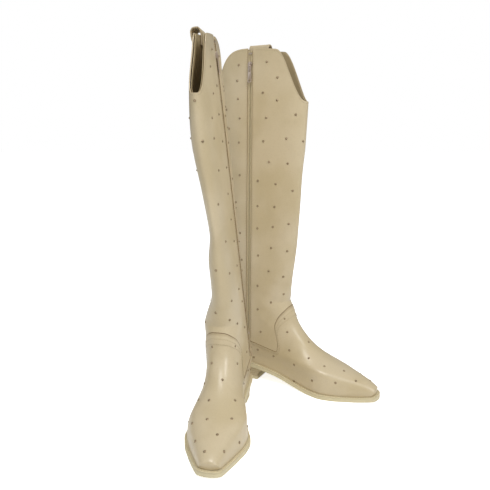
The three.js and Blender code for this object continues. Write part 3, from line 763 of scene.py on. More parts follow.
@dataclass(frozen=True)
class Stack:
    """Heel of stacked leather layers, sealed and tinted: faint lines round it at each layer."""

    name: str
    colour: str
    line: str
    layer_mm: float

    def build(self) -> bpy.types.Material:
        """Makes the material."""
        s = Shader(self.name)
        axes = s.add("ShaderNodeSeparateXYZ", out="Z", Vector=s.place)
        height = s.add("ShaderNodeMath", {"operation": "MULTIPLY"}, Value=axes, Value_001=each(self.layer_mm))
        part = s.add("ShaderNodeMath", {"operation": "PINGPONG"}, Value=height, Value_001=0.5)
        line = s.add(
            "ShaderNodeMapRange", SOFT, Value=part, From_Min=0.02, From_Max=0.1, To_Min=0.7, To_Max=0
        )
        fibre = s.add("ShaderNodeTexNoise", Vector=s.place, Scale=each(1.4), Detail=4, Roughness=0.7)
        streaks = s.add("ShaderNodeMapRange", SOFT, Value=fibre, From_Min=0.35, From_Max=0.7, To_Max=0.4)
        colour, dark = linear(self.colour), linear(self.line)
        for share in (streaks, line):
            colour = s.add(
                "ShaderNodeMix", COLOURS, COLOUR_OUT, Factor_Float=share, A_Color=colour, B_Color=dark
            )
        s.put(s.surface, Base_Color=colour, Roughness=0.48, Coat_Weight=0.1)
        s.relief((line, -0.08), (fibre, 0.04))
        return s.material


@dataclass(frozen=True)
class Moulded:
    """Moulded rubber: matt, lightly mottled, greyer along its rubbed edge."""

    name: str
    colour: str
    scuff: str
    roughness: float = 0.55

    def build(self) -> bpy.types.Material:
        """Makes the material."""
        s = Shader(self.name)
        mottle = s.add("ShaderNodeTexNoise", Vector=s.place, Scale=each(6), Detail=4, Roughness=0.6)
        edge = s.add("ShaderNodeAttribute", {"attribute_name": "edge"}, "Fac")
        mottled = s.add("ShaderNodeMapRange", SOFT, Value=mottle, From_Min=0.4, From_Max=0.75, To_Max=0.3)
        rubbed = s.add(
            "ShaderNodeMapRange", SOFT, Value=edge, From_Min=0.1, From_Max=1.4, To_Min=0.35, To_Max=0
        )
        colour, grey = linear(self.colour), linear(self.scuff)
        for share in (mottled, rubbed):
            colour = s.add(
                "ShaderNodeMix", COLOURS, COLOUR_OUT, Factor_Float=share, A_Color=colour, B_Color=grey
            )
        s.put(s.surface, Base_Color=colour, Roughness=self.roughness)
        fine = s.add("ShaderNodeTexNoise", Vector=s.place, Scale=each(0.8), Detail=3)
        s.relief((fine, 0.04), (mottle, 0.05))
        return s.material


WAVES_PER_UNIT = 0.314  # a wave texture of this scale has one band in each unit of length


@dataclass(frozen=True)
class Woven:
    """Narrow woven polyester tape or spun thread: a tight rib across and along it."""

    name: str
    colour: str
    shade: str
    pitch_mm: float
    roughness: float = 0.8

    def build(self) -> bpy.types.Material:
        """Makes the material."""
        s = Shader(self.name)
        scale = WAVES_PER_UNIT / (self.pitch_mm * MM)
        across, along = (
            s.add(
                "ShaderNodeTexWave", {"bands_direction": axis}, "Fac", Vector=s.place, Scale=scale,
                Distortion=0.4,
            )
            for axis in ("Z", "DIAGONAL")
        )
        rib = s.add("ShaderNodeMath", {"operation": "MULTIPLY"}, Value=across, Value_001=along)
        colour = s.add(
            "ShaderNodeMix", COLOURS, COLOUR_OUT, Factor_Float=rib,
            A_Color=linear(self.shade), B_Color=linear(self.colour),
        )
        s.put(s.surface, Base_Color=colour, Roughness=self.roughness, Sheen_Weight=0.2)
        s.relief((rib, 0.12))
        return s.material


@dataclass(frozen=True)
class Metal:
    """Die-cast or rolled metal with a plated face: fine tumbling marks and slight dulling."""

    name: str
    colour: str
    tarnish: str
    roughness: float

    def build(self) -> bpy.types.Material:
        """Makes the material."""
        s = Shader(self.name)
        dull = s.add("ShaderNodeTexNoise", Vector=s.place, Scale=each(3), Detail=3, Roughness=0.6)
        dulled = s.add("ShaderNodeMapRange", SOFT, Value=dull, From_Min=0.45, From_Max=0.8, To_Max=0.5)
        colour = s.add(
            "ShaderNodeMix", COLOURS, COLOUR_OUT, Factor_Float=dulled,
            A_Color=linear(self.colour), B_Color=linear(self.tarnish),
        )
        rough = s.add(
            "ShaderNodeMapRange", SOFT, Value=dull, From_Min=0.3, From_Max=0.8,
            To_Min=self.roughness, To_Max=self.roughness + 0.15,
        )
        s.put(s.surface, Base_Color=colour, Metallic=1.0, Roughness=rough)
        dents = s.add("ShaderNodeTexNoise", Vector=s.place, Scale=each(4), Detail=2)
        s.relief((dents, 0.02))
        return s.material


@dataclass(frozen=True)
class Board:
    """Pressed fibre or cork: coarse grains of two browns, quite matt."""

    name: str
    colour: str
    fleck: str

    def build(self) -> bpy.types.Material:
        """Makes the material."""
        s = Shader(self.name)
        grain = s.add(
            "ShaderNodeTexVoronoi", {"feature": "SMOOTH_F1"}, Vector=s.place, Scale=each(1.6), Smoothness=0.6
        )
        flecks = s.add("ShaderNodeMapRange", SOFT, Value=grain, From_Min=0.2, From_Max=0.6)
        colour = s.add(
            "ShaderNodeMix", COLOURS, COLOUR_OUT, Factor_Float=flecks,
            A_Color=linear(self.colour), B_Color=linear(self.fleck),
        )
        s.put(s.surface, Base_Color=colour, Roughness=0.92)
        fine = s.add("ShaderNodeTexNoise", Vector=s.place, Scale=each(0.6), Detail=3)
        s.relief((grain, 0.15), (fine, 0.08))
        return s.material


@dataclass(frozen=True)
class Backdrop:
    """Seamless white paper."""

    name: str
    colour: str
    glow: float

    def build(self) -> bpy.types.Material:
        """Makes the material."""
        s = Shader(self.name)
        cloud = s.add("ShaderNodeTexNoise", Vector=s.place, Scale=each(900), Detail=2)
        tone = s.add(
            "ShaderNodeMix", COLOURS, COLOUR_OUT, Factor_Float=cloud,
            A_Color=linear(self.colour), B_Color=linear("#ffffff"),
        )
        seen = s.add("ShaderNodeLightPath", out="Is Camera Ray")
        glow = s.add("ShaderNodeMapRange", SOFT, Value=seen, To_Min=self.glow / 8, To_Max=self.glow)
        s.put(
            s.surface, Base_Color=tone, Roughness=0.9, Emission_Color=linear("#ffffff"),
            Emission_Strength=glow, Specular_IOR_Level=0.0,
        )
        return s.material


class Finish(Enum):
    """Every finish, built once when a piece first asks for it."""

    UPPER = Leather("smooth_beige_calf", "#d5c5a4", "#cbba95", "#a58e6b")
    STRAP = Leather("beige_strap_calf", "#cfc0a1", "#c6b594", "#a58e6b", roughness=0.75, coat=0)
    LINING = Leather("pigskin_lining", "#c8b68f", "#bca981", "#a08c66", roughness=0.7, pore_mm=1.4, coat=0)
    # Colour of the seam cords: the dye of the leather's cut edges together with painted shade in the creases
    # at the seams.
    EDGE = Leather("burnished_edge", "#8f7453", "#866b4b", "#7a6043", roughness=0.5, coat=0.1)
    WELT = Leather("cream_welt", "#ded2ae", "#d8cba6", "#c9bb95", roughness=0.5, coat=0.1)
    HEEL = Stack("stacked_leather_heel", "#cdbd97", "#a08a64", 4.2)
    RUBBER = Moulded("cream_sole_rubber", "#e2d7b4", "#d3c69f")
    TAPE = Woven("zip_tape_polyester", "#e6dab8", "#d3c49e", 0.7)
    COIL = Woven("nylon_coil", "#ddcfa9", "#c4b48d", 0.9, 0.4)
    THREAD = Woven("beige_thread", "#c0ae88", "#a18d68", 0.3, 0.6)
    NICKEL = Metal("warm_nickel_plate", "#e0d2c6", "#c4b5a8", 0.32)
    STUD = Metal("aged_bronze_stud", "#a8967c", "#83735c", 0.42)
    STEEL = Metal("rolled_steel", "#b9b7b2", "#8f8c86", 0.35)
    BOARD = Board("cork_and_fibre_board", "#a58f6c", "#86704f")
    PAPER = Backdrop("white_paper", "#f8f8f7", 0.75)

    @cached_property
    def material(self) -> bpy.types.Material:
        """The material, made at the first call."""
        return self.value.build()


# --- mesh building ---


def piece(
    bm: bmesh.types.BMesh, name: str, finish: Finish, body: str,
    nodes: Sequence[str] = (), sharp: float = 40,
) -> bpy.types.Object:
    """Turns a mesh into an object of the model.

    Args:
        bm: the mesh, in world metres; it is freed.
        name: name of the object.
        finish: what it is made of.
        body: the CAD body that carries it.
        nodes: CAD nodes that it stands for.
        sharp: faces that meet at more than this many degrees keep a hard edge.

    Returns:
        The object.
    """
    bmesh.ops.recalc_face_normals(bm, faces=bm.faces)
    mesh = bpy.data.meshes.new(name)
    bm.to_mesh(mesh)
    bm.free()
    mesh.materials.append(finish.material)
    mesh.shade_smooth()
    mesh.set_sharp_from_angle(angle=math.radians(sharp))
    made = bpy.data.objects.new(name, mesh)
    bpy.context.scene.collection.objects.link(made)
    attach(made, body)
    if nodes:
        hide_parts(*nodes)
    return made


def round_rims(bm: bmesh.types.BMesh, width_mm: float, segments: int = 2, angle: float = 55) -> None:
    """Rounds every edge that is sharper than an angle.

    Args:
        bm: the mesh.
        width_mm: how much of each face is taken.
        segments: faces across the rim.
        angle: in degrees.
    """
    edges = [e for e in bm.edges if len(e.link_faces) == 2 and e.calc_face_angle(0) > math.radians(angle)]
    bmesh.ops.bevel(
        bm, geom=edges, offset=width_mm * MM, offset_type="OFFSET", segments=segments, profile=0.5,
        affect="EDGES", clamp_overlap=True, material=-1,
    )


Spot = Callable[[float, float], tuple[Vector, Vector]]


def slab(
    spot: Spot, columns: int, rows: int, thickness: float, rim: float,
    size: tuple[float, float], joined: bool = False,
) -> bmesh.types.BMesh:
    """A sheet with a thickness over a surface.

    Args:
        spot: world point and outward direction of the sheet's face at (u, v), each 0 to 1.
        columns: cells along u.
        rows: cells along v.
        thickness: in millimetres, inwards from the face.
        rim: radius of its edges, in millimetres.
        size: how wide and how high the sheet is, in millimetres, for its rubbed edge.
        joined: whether u = 0 and u = 1 are one line.

    Returns:
        A closed mesh that carries the distance from its rim as "edge".
    """
    bm = bmesh.new()
    bmesh.ops.create_grid(bm, x_segments=columns, y_segments=rows, size=0.5)
    edge = bm.verts.layers.float.new("edge")
    inward = bm.verts.layers.float_vector.new("inward")
    for vert in bm.verts:
        u, v = clamp(vert.co.x + 0.5, 0, 1), clamp(vert.co.y + 0.5, 0, 1)
        vert.co, out = spot(u, v)
        vert[inward] = out * (-thickness * MM)
        vert[edge] = min(v, 1 - v) * size[1]
        if not joined:
            vert[edge] = min(vert[edge], u * size[0], (1 - u) * size[0])
    if joined:
        bmesh.ops.remove_doubles(bm, verts=bm.verts, dist=1e-6)
    copy = bmesh.ops.extrude_face_region(bm, geom=bm.faces[:], use_keep_orig=True)
    for vert in (v for v in copy["geom"] if isinstance(v, bmesh.types.BMVert)):
        vert.co = vert.co + Vector(vert[inward])
    if rim > 0:
        round_rims(bm, rim)
    return bm


def lathe(profile: Sequence[tuple[float, float]], segments: int) -> bpy.types.Mesh:
    """A small turned part about Z from (radius, height) pairs in millimetres.

    Args:
        profile: the pairs.
        segments: steps round.

    Returns:
        The mesh.
    """
    bm = bmesh.new()
    verts = [bm.verts.new((r * MM, 0, z * MM)) for r, z in profile]
    edges = [bm.edges.new(pair) for pair in zip(verts, verts[1:])]
    bmesh.ops.spin(
        bm, geom=verts + edges, cent=(0, 0, 0), axis=(0, 0, 1), angle=2 * math.pi,
        steps=segments, use_merge=True,
    )
    bmesh.ops.remove_doubles(bm, verts=bm.verts, dist=1e-6)
    bmesh.ops.recalc_face_normals(bm, faces=bm.faces)
    mesh = bpy.data.meshes.new("turned")
    bm.to_mesh(mesh)
    bm.free()
    return mesh


def stamp(bm: bmesh.types.BMesh, pattern: bpy.types.Mesh, matrix: Matrix) -> None:
    """Adds a copy of a small mesh at a place.

    Args:
        bm: the mesh that it is added to.
        pattern: the small mesh.
        matrix: its place.
    """
    start = len(bm.verts)
    bm.from_mesh(pattern)
    bm.verts.ensure_lookup_table()
    bmesh.ops.transform(bm, matrix=matrix, verts=bm.verts[start:])


def frame_on(point: Vector, out: Vector, along: Vector) -> Matrix:
    """A frame with Z out of a surface and X along a line on it.

    Args:
        point: where.
        out: the way out of the surface.
        along: the way along the line.

    Returns:
        The frame.
    """
    z = out.normalized()
    y = z.cross(along).normalized()
    x = y.cross(z)
    return Matrix([[x[i], y[i], z[i], point[i]] for i in range(3)] + [[0, 0, 0, 1]])


def spaced(line: Sequence[tuple[Vector, Vector]], pitch_mm: float) -> Iterable[Matrix]:
    """Frames at an even pitch along a line of (point, outward) pairs.

    Args:
        line: the line.
        pitch_mm: from frame to frame.

    Returns:
        The frames, the first half a pitch from the start.
    """
    wanted, run = pitch_mm * MM / 2, 0.0
    for (a, out_a), (b, out_b) in zip(line, line[1:]):
        length = (b - a).length
        while length > 0 and wanted <= run + length:
            share = (wanted - run) / length
            yield frame_on(a.lerp(b, share), out_a.lerp(out_b, share), b - a)
            wanted += pitch_mm * MM
        run += length


Line = Sequence[tuple[Vector, Vector]]


def tube(bm: bmesh.types.BMesh, line: Line, width_mm: float, height_mm: float, sides: int = 8) -> None:
    """Sweeps an oval section along a line.

    Args:
        bm: the mesh that it is added to.
        line: points with the way out of the surface at each.
        width_mm: width of the section, along the surface.
        height_mm: height of the section, out of the surface.
        sides: corners of the section.
    """
    rings = []
    for i, (point, out) in enumerate(line):
        along = line[min(i + 1, len(line) - 1)][0] - line[max(i - 1, 0)][0]
        at = frame_on(point, out, along)
        rings.append([
            at @ Vector((0, width_mm / 2 * MM * math.cos(a), height_mm / 2 * MM * math.sin(a)))
            for a in (2 * math.pi * k / sides for k in range(sides))
        ])
    loop = bmesh.ops.create_circle(bm, cap_ends=True, segments=sides, radius=MM)["verts"]
    for vert, place in zip(loop, rings[0]):
        vert.co = place
    edges = list({e for v in loop for e in v.link_edges})
    for ring in rings[1:]:
        grown = bmesh.ops.extrude_edge_only(bm, edges=edges)["geom"]
        fresh = [v for v in grown if isinstance(v, bmesh.types.BMVert)]
        old = {v: i for i, v in enumerate(loop)}
        order = {}
        for vert in fresh:
            partner = next(e.other_vert(vert) for e in vert.link_edges if e.other_vert(vert) in old)
            order[old[partner]] = vert
        loop = [order[i] for i in range(sides)]
        for vert, place in zip(loop, ring):
            vert.co = place
        edges = [e for e in grown if isinstance(e, bmesh.types.BMEdge) and all(v in fresh for v in e.verts)]
    bmesh.ops.contextual_create(bm, geom=edges)


STITCH = lathe([(0, -1), (0.62, -0.62), (1, 0), (0.62, 0.62), (0, 1)], 6)
STUD = lathe(
    [(0, 1.5), (0.55, 1.42), (1.1, 1.12), (1.5, 0.65), (1.65, 0.35), (2.05, 0.28), (2.1, 0), (2.1, -0.4)], 14
)


def sew(
    bm: bmesh.types.BMesh, line: Line, pitch: float = 3.0, length: float = 2.3, wide: float = 0.6
) -> None:
    """Lays a row of stitches along a line.

    Args:
        bm: the mesh that they are added to.
        line: points with the way out of the leather at each.
        pitch: from stitch to stitch, in millimetres.
        length: of each stitch, in millimetres.
        wide: width of the thread, in millimetres.
    """
    lay = Matrix.Rotation(math.pi / 2, 4, "Y") @ Matrix.Diagonal((wide * 0.4, wide / 2, length / 2, 1))
    for at in spaced(line, pitch):
        stamp(bm, STITCH, at @ lay)


# --- the upper ---

SEAM_LIFT = 0.7  # the foot's upper edge stands this much over the shaft
EDGE_STITCH = 2.4  # distance of a stitch row from the edge it holds
ROW_GAP = 2.2  # between the two rows of a double seam
TOP_STITCH = 3.2  # distance of the top's row from its edge
FOOT_RISE = 95  # how much of the foot's height one level takes near its seams


@dataclass(frozen=True)
class Panel:
    """One sheet of the upper: which way its columns run and between which levels."""

    name: str
    turn: Turn
    start: Callable[[float], float]
    end: Callable[[float], float]
    columns: int
    rows: int
    size: tuple[float, float]
    tall: bool = False
    lifted: bool = False

    def level(self, u: float, v: float, drop: float = 0) -> float:
        """Level of a place on the panel.

        Args:
            u: share of the columns.
            v: share of the rows.
            drop: how far its top edge is lowered, in millimetres.

        Returns:
            The level.
        """
        end = self.end(u) - drop / (BOOT_HEIGHT - ANKLE_HEIGHT)
        if self.tall:
            return shaft_level(self.start(u), end, v)
        return mix(self.start(u), end, v)

    def spot(self, boot: Boot, u: float, v: float, depth: float, drop: float = 0) -> tuple[Vector, Vector]:
        """World place and outward direction of a place on the panel, never below the welt.

        Args:
            boot: the boot.
            u: share of the columns.
            v: share of the rows.
            depth: under the outer face, in millimetres.
            drop: as for level.

        Returns:
            The place and the direction.
        """
        level = self.level(u, v, drop)
        lift = SEAM_LIFT * ease(1 - (1 - v) * self.size[1] / 7) if self.lifted and depth == 0 else 0
        place, out = boot.spot(self.turn(u, level), level, lift - depth)
        floor = feather_z(((boot.spin.inverted() @ (place - boot.origin)) / MM).x) * MM
        place.z = max(place.z, floor)
        return place, out


def top_of(turn: Turn) -> Callable[[float], float]:
    """Level of the top edge for a share of the way round."""
    return lambda u: top_level(turn(u, 1.85) % (2 * math.pi))


PANELS = {
    "vamp": Panel(
        "vamp", vamp_turn, lambda u: 0, lambda u: front_seam(u) - 0.001, 260, 44, (480, 85), lifted=True
    ),
    "counter": Panel(
        "counter", counter_turn, lambda u: 0, lambda u: BACK_SEAM - 0.001, 70, 24, (130, 50), lifted=True
    ),
    "shaft_front": Panel(
        "shaft_front", front_turn, lambda u: front_seam(u) - 0.006, top_of(front_turn),
        120, 190, (240, 440), True,
    ),
    "shaft_back": Panel(
        "shaft_back", back_turn, lambda u: BACK_SEAM - 0.006, top_of(back_turn),
        84, 190, (150, 500), True,
    ),
}
LININGS = {
    "vamp": "vamp_lining", "counter": "counter_lining",
    "shaft_front": "shaft_lining_front", "shaft_back": "shaft_lining_back",
}


@dataclass(frozen=True)
class Upper:
    """The leather of one boot with its lining, seams and stitching."""

    boot: Boot

    def build(self) -> None:
        """Makes the panels with their lining, then the seams and the stitching."""
        boot, body = self.boot, self.boot.node("boot")
        for panel in PANELS.values():
            bm = slab(
                lambda u, v: panel.spot(boot, u, v, 0), panel.columns, panel.rows, LEATHER, 0.45, panel.size
            )
            node = boot.node(panel.name)
            piece(bm, f"{node}_leather", Finish.UPPER, body, [node])
            bm = slab(
                lambda u, v: panel.spot(boot, u, v, LINING_DEPTH, 1 if panel.tall else 0),
                panel.columns // 2, panel.rows // 2, LINING, 0.2, panel.size,
            )
            lining = LININGS[panel.name]
            piece(bm, boot.node(f"{lining}_skin"), Finish.LINING, body, [boot.node(lining)])
        self.seams()
        self.stitching()

    def line(
        self, turn: Turn, level: Callable[[float], float], height: float,
        count: int = 220, span: tuple[float, float] = (0, 1),
    ) -> Line:
        """A line round the boot.

        Args:
            turn: turn for a share of the way round and a level.
            level: level for a share of the way round.
            height: over the leather's face, in millimetres.
            count: steps in the line.
            span: shares at which it starts and ends.

        Returns:
            Points with the way out of the leather at each.
        """
        points = []
        for i in range(count + 1):
            u = mix(*span, i / count)
            points.append(self.boot.spot(turn(u, level(u)), level(u), height))
        return points

    def upright(self, x: float, low: float, high: float, height: float, count: int = 160) -> Line:
        """A line up the inner side beside the zip.

        Args:
            x: distance from the heel.
            low: height of its lower end.
            high: height of its upper end.
            height: over the leather's face.
            count: steps in the line.

        Returns:
            Points with the way out of the leather at each.
        """
        levels = (mix(zip_level(low), zip_level(high), i / count) for i in range(count + 1))
        return [self.boot.spot(turn_at(x, level), level, height) for level in levels]

    def seams(self) -> None:
        """Dark brown cords, which show as thin brown lines round the foot, up the zip and at the back: partly
        the dye of the leather's cut edges, partly painted shade in the crease where an edge lies over the
        next panel.
        """
        bm = bmesh.new()
        # Round the foot the cords lie in the crease under the lifted edge of the vamp and the counter: dyed
        # edge and painted crease shade.
        tube(bm, self.line(front_turn, lambda u: front_seam(u) + 0.001, 0.1, 300), 0.9, 0.9)
        tube(bm, self.line(back_turn, lambda u: BACK_SEAM + 0.001, 0.1, 90), 0.9, 0.9)
        # Beside the zip slot the cords stand for the dyed slot edges and for painted shade along them.
        for side in (-1, 1):
            tube(bm, self.upright(ZIP_X + side * ZIP_SLOT / 2, ZIP_BOTTOM, ZIP_TOP, -0.25), 0.8, 0.8)
        outer = [
            self.boot.spot(2 * math.pi - turn_at(ZIP_X, level), level, -0.15)
            for level in (mix(BACK_SEAM, 1.985, i / 160) for i in range(161))
        ]
        tube(bm, outer, 0.6, 0.5)
        piece(bm, self.boot.node("burnished_seams"), Finish.EDGE, self.boot.node("boot"))

    def stitching(self) -> None:
        """Two rows along the foot seams, and one beside the zip and under the top."""
        bm = bmesh.new()
        lift = SEAM_LIFT
        for inset in (EDGE_STITCH, EDGE_STITCH + ROW_GAP):
            sew(bm, self.line(front_turn, lambda u: front_seam(u) - inset / FOOT_RISE, lift, 300))
            sew(bm, self.line(back_turn, lambda u: BACK_SEAM - inset / FOOT_RISE, lift, 90))
        for side in (-1, 1):
            x = ZIP_X + side * (ZIP_SLOT / 2 + EDGE_STITCH)
            sew(bm, self.upright(x, ZIP_BOTTOM + 2, ZIP_TOP - 3, 0.02))
        for turn in (front_turn, back_turn):
            top = top_of(turn)
            inset = TOP_STITCH / (BOOT_HEIGHT - ANKLE_HEIGHT)
            sew(bm, self.line(turn, lambda u: top(u) - inset, 0.02, 160, (0.02, 0.98)))
        piece(bm, self.boot.node("stitching"), Finish.THREAD, self.boot.node("boot"))


@dataclass(frozen=True)
class Studs:
    """Small domed studs, at (turn, level) places over the whole boot."""

    boot: Boot
    places: Sequence[tuple[float, float]]

    def build(self) -> None:
        """Sets every stud on the leather."""
        bm = bmesh.new()
        for turn, level in self.places:
            point, out = self.boot.spot(turn, level)
            stamp(bm, STUD, frame_on(point, out, out.orthogonal()))
        piece(bm, self.boot.node("studs"), Finish.STUD, self.boot.node("boot"), sharp=60)


STUD_PLACES = {
    Side.RIGHT: [
        (3.54, 0.91), (2.34, 0.9), (3.58, 0.83), (2.18, 0.79), (2.96, 0.76), (4.1, 0.65), (1.36, 0.38),
        (4.08, 0.53), (3.48, 0.63), (2.46, 0.6), (3.4, 0.51), (2.66, 0.5), (3.96, 0.36), (1.9, 0.19),
        (3, 0.41), (3.74, 0.27), (2.22, 0.16), (3.32, 0.26), (2.66, 0.22), (2.26, 1.55), (1.64, 1.555),
        (1.76, 1.465), (2.56, 1.44), (1.74, 1.375), (2.36, 1.31), (1.68, 1.295), (1.66, 1.205), (2.32, 1.195),
        (3.18, 1.215), (1.76, 1.12), (2.42, 1.095), (3.42, 1.055), (2.6, 1.025), (2.16, 1), (1.52, 0.94),
        (2.26, 1.72), (2.9, 1.645), (1.4, 1.785), (1.14, 1.94), (1.78, 1.945), (2.02, 1.885), (0.62, 1.845),
        (1.7, 1.83), (2.02, 1.8), (0.74, 1.77), (1.16, 1.735), (1.78, 1.735), (0.82, 1.695), (2.28, 1.655),
        (1.12, 1.64), (1.72, 1.645), (1.1, 1.51), (0.88, 1.4), (1.54, 1.065), (1.36, 0.73), (1.04, 0.39),
        (1.66, 0.37), (4.92, 0.38), (4.38, 0.19), (4.02, 1.55), (4.64, 1.555), (4.52, 1.465), (4.54, 1.375),
        (4.6, 1.295), (4.62, 1.205), (4.52, 1.12), (4.12, 1), (4.76, 0.94), (4.02, 1.72), (5.14, 1.94),
        (4.5, 1.945), (4.26, 1.885), (5.66, 1.845), (4.58, 1.83), (4.26, 1.8), (5.54, 1.77), (5.12, 1.735),
        (4.5, 1.735), (5.46, 1.695), (4, 1.655), (5.16, 1.64), (4.56, 1.645), (5.18, 1.51), (5.4, 1.4),
        (4.74, 1.065), (4.92, 0.73), (5.24, 0.39), (0, 0.1), (4.71, 0.1), (0.65, 0.2), (5.63, 0.2), (0, 0.5),
        (0.65, 0.6), (5.63, 0.6), (0.13, 0.8), (5.5, 0.9), (0, 1), (0, 1.11), (0.94, 1.165), (5.34, 1.165),
        (0, 1.22), (0.94, 1.275), (5.34, 1.275), (0, 1.33), (0, 1.44), (0, 1.55), (0, 1.66), (3.14, 1.77),
    ],
    Side.LEFT: [
        (1.14, 1.94), (1.78, 1.945), (1.1, 1.88), (2.02, 1.885), (0.62, 1.845), (1.7, 1.83), (1.12, 1.81),
        (2.02, 1.8), (0.74, 1.77), (2.52, 1.745), (1.16, 1.735), (1.78, 1.735), (0.82, 1.695), (2.28, 1.655),
        (1.12, 1.64), (1.72, 1.645), (1.86, 1.565), (2.36, 1.56), (1.1, 1.51), (1.58, 1.49), (2.04, 1.48),
        (2.58, 1.455), (0.88, 1.4), (1.54, 1.39), (2, 1.39), (2.48, 1.325), (1.52, 1.3), (1.96, 1.31),
        (1.94, 1.225), (2.52, 1.215), (1.54, 1.19), (1.9, 1.13), (2.48, 1.11), (1.54, 1.065), (2.6, 1.035),
        (2.08, 1), (1.5, 0.94), (2.42, 0.91), (1.36, 0.73), (2.28, 0.82), (1.04, 0.39), (1.86, 0.61),
        (1.3, 0.36), (0.88, 0.16), (1.66, 0.37), (2.3, 0.6), (2.56, 0.54), (2.92, 0.47), (2.72, 0.32),
        (2.24, 0.27), (1.84, 0.21), (1.52, 0.02), (3.54, 0.91), (2.96, 0.76), (4.1, 0.65), (4.08, 0.53),
        (3.96, 0.36), (3.74, 0.27), (3.32, 0.26), (2.9, 1.645), (5.14, 1.94), (4.5, 1.945), (4.26, 1.885),
        (5.66, 1.845), (4.58, 1.83), (5.16, 1.81), (4.26, 1.8), (5.54, 1.77), (5.12, 1.735), (4.5, 1.735),
        (5.46, 1.695), (4, 1.655), (5.16, 1.64), (4.56, 1.645), (4.42, 1.565), (3.92, 1.56), (5.18, 1.51),
        (4.7, 1.49), (4.24, 1.48), (5.4, 1.4), (4.74, 1.39), (4.28, 1.39), (4.76, 1.3), (4.32, 1.31),
        (4.34, 1.225), (4.74, 1.19), (4.38, 1.13), (3.8, 1.11), (4.74, 1.065), (3.68, 1.035), (4.2, 1),
        (4.78, 0.94), (4.92, 0.73), (5.24, 0.39), (4.98, 0.36), (4.44, 0.21), (0, 0.1), (4.84, 0.2),
        (5.63, 0.2), (0.52, 0.3), (0, 0.5), (5.63, 0.6), (0.52, 0.7), (4.45, 0.7), (6.15, 0.8), (0, 1),
        (0, 1.11), (0.94, 1.165), (5.34, 1.165), (0, 1.22), (0.94, 1.275), (5.34, 1.275), (0, 1.33),
        (3.46, 1.385), (0, 1.44), (0, 1.55), (0, 1.66),
    ],
}


STRAP_SEAM = 0.065  # share of the strap's width from its edge to the stitches


@dataclass(frozen=True)
class Strap:
    """The pull strap: sewn to the outside, arched over the ear and sewn down inside."""

    boot: Boot

    def route(self) -> tuple[Curve, Curve]:
        """Offset out from the face, and height over the ear, along the strap.

        Returns:
            Both against the share of the way along it.
        """
        hold = 2 * GAP + STRAP_THICKNESS / 2
        inner = -(WALL + hold)
        points = [
            (hold, -STRAP_LEG), (hold, 6 - STRAP_LEG), (hold + 3.5, -18), (hold + 8, -4),
            (hold + 8.5, STRAP_RISE - 8), (hold + 4.5, STRAP_RISE - 1.8), (hold - 2.5, STRAP_RISE - 1),
            (inner + 0.4, STRAP_RISE - 7.5), (inner - 0.2, -5), (inner, -16),
        ]
        runs = [0.0]
        for (a, b), (c, d) in zip(points, points[1:]):
            runs.append(runs[-1] + math.sqrt(math.hypot(c - a, d - b)))
        shares = [r / runs[-1] for r in runs]
        return Curve(*zip(shares, (p[0] for p in points))), Curve(*zip(shares, (p[1] for p in points)))

    def build(self) -> None:
        """Makes the strap and its stitches."""
        boot = self.boot
        outs, rises = self.route()

        def centre(v: float, end: float) -> Vector:
            """Middle of the strap in its thickness, end being -1 to 1 across it."""
            out, rise = outs(v), rises(v)
            z = BOOT_HEIGHT + rise
            level = min(level_of(z), 2)
            anchor = boot.skin(2 * math.pi - turn_at(ZIP_X, level_of(z)), level)
            lean = boot.side.lean_rise * max(0, rise)
            return Vector((anchor.x + end * STRAP_WIDTH / 2, anchor.y - lean - out, z))

        def spot(u: float, v: float, height: float = STRAP_THICKNESS / 2) -> tuple[Vector, Vector]:
            """World place and outward direction on the strap.

            Args:
                u: share across it.
                v: share along it.
                height: over its middle, in millimetres.

            Returns:
                The place and the direction.
            """
            end = 2 * u - 1
            low, high = centre(max(v - 0.01, 0), end), centre(min(v + 0.01, 1), end)
            out = Vector((1, 0, 0)).cross(high - low).normalized()
            return boot.world(centre(v, end) + out * height), boot.direction(out)

        def sewn(us: Sequence[float], vs: Sequence[float], height: float) -> Line:
            """A line on the strap."""
            return [spot(u, v, height) for u, v in zip(us, vs)]

        body = boot.node("boot")
        bm = slab(spot, 20, 110, STRAP_THICKNESS, 0.5, (STRAP_WIDTH, 90))
        node = boot.node("pull_strap")
        piece(bm, f"{node}_leather", Finish.STRAP, body, [node])
        bm = bmesh.new()
        count = 90
        near, far = STRAP_SEAM, 1 - STRAP_SEAM
        for u in (near, far):
            along = [mix(0.01, 0.97, i / count) for i in range(count + 1)]
            sew(bm, sewn([u] * (count + 1), along, STRAP_THICKNESS / 2))
        for v in (0.03, 0.2):
            across = [mix(near, far, i / 20) for i in range(21)]
            sew(bm, sewn(across, [v] * 21, STRAP_THICKNESS / 2))
        piece(bm, boot.node("strap_stitching"), Finish.THREAD, body)


# --- the zip ---


def plate(loops: Sequence[Sequence[tuple[float, float]]], depth: float, rim: float) -> bmesh.types.BMesh:
    """A flat plate in the XY plane from an outline and its holes, in millimetres, centred on Z.

    Args:
        loops: the outline and then its holes.
        depth: thickness.
        rim: radius of its edges.

    Returns:
        The mesh.
    """
    bm = bmesh.new()
    edges = []
    for loop in loops:
        verts = [bm.verts.new((x * MM, y * MM, -depth / 2 * MM)) for x, y in loop]
        edges += [bm.edges.new((a, b)) for a, b in zip(verts, verts[1:] + verts[:1])]
    bmesh.ops.triangle_fill(bm, edges=edges, use_beauty=True)
    grown = bmesh.ops.extrude_face_region(bm, geom=bm.faces[:], use_keep_orig=True)
    fresh = [v for v in grown["geom"] if isinstance(v, bmesh.types.BMVert)]
    bmesh.ops.translate(bm, verts=fresh, vec=(0, 0, depth * MM))
    bmesh.ops.recalc_face_normals(bm, faces=bm.faces)
    round_rims(bm, rim, 2, 70)
    return bm


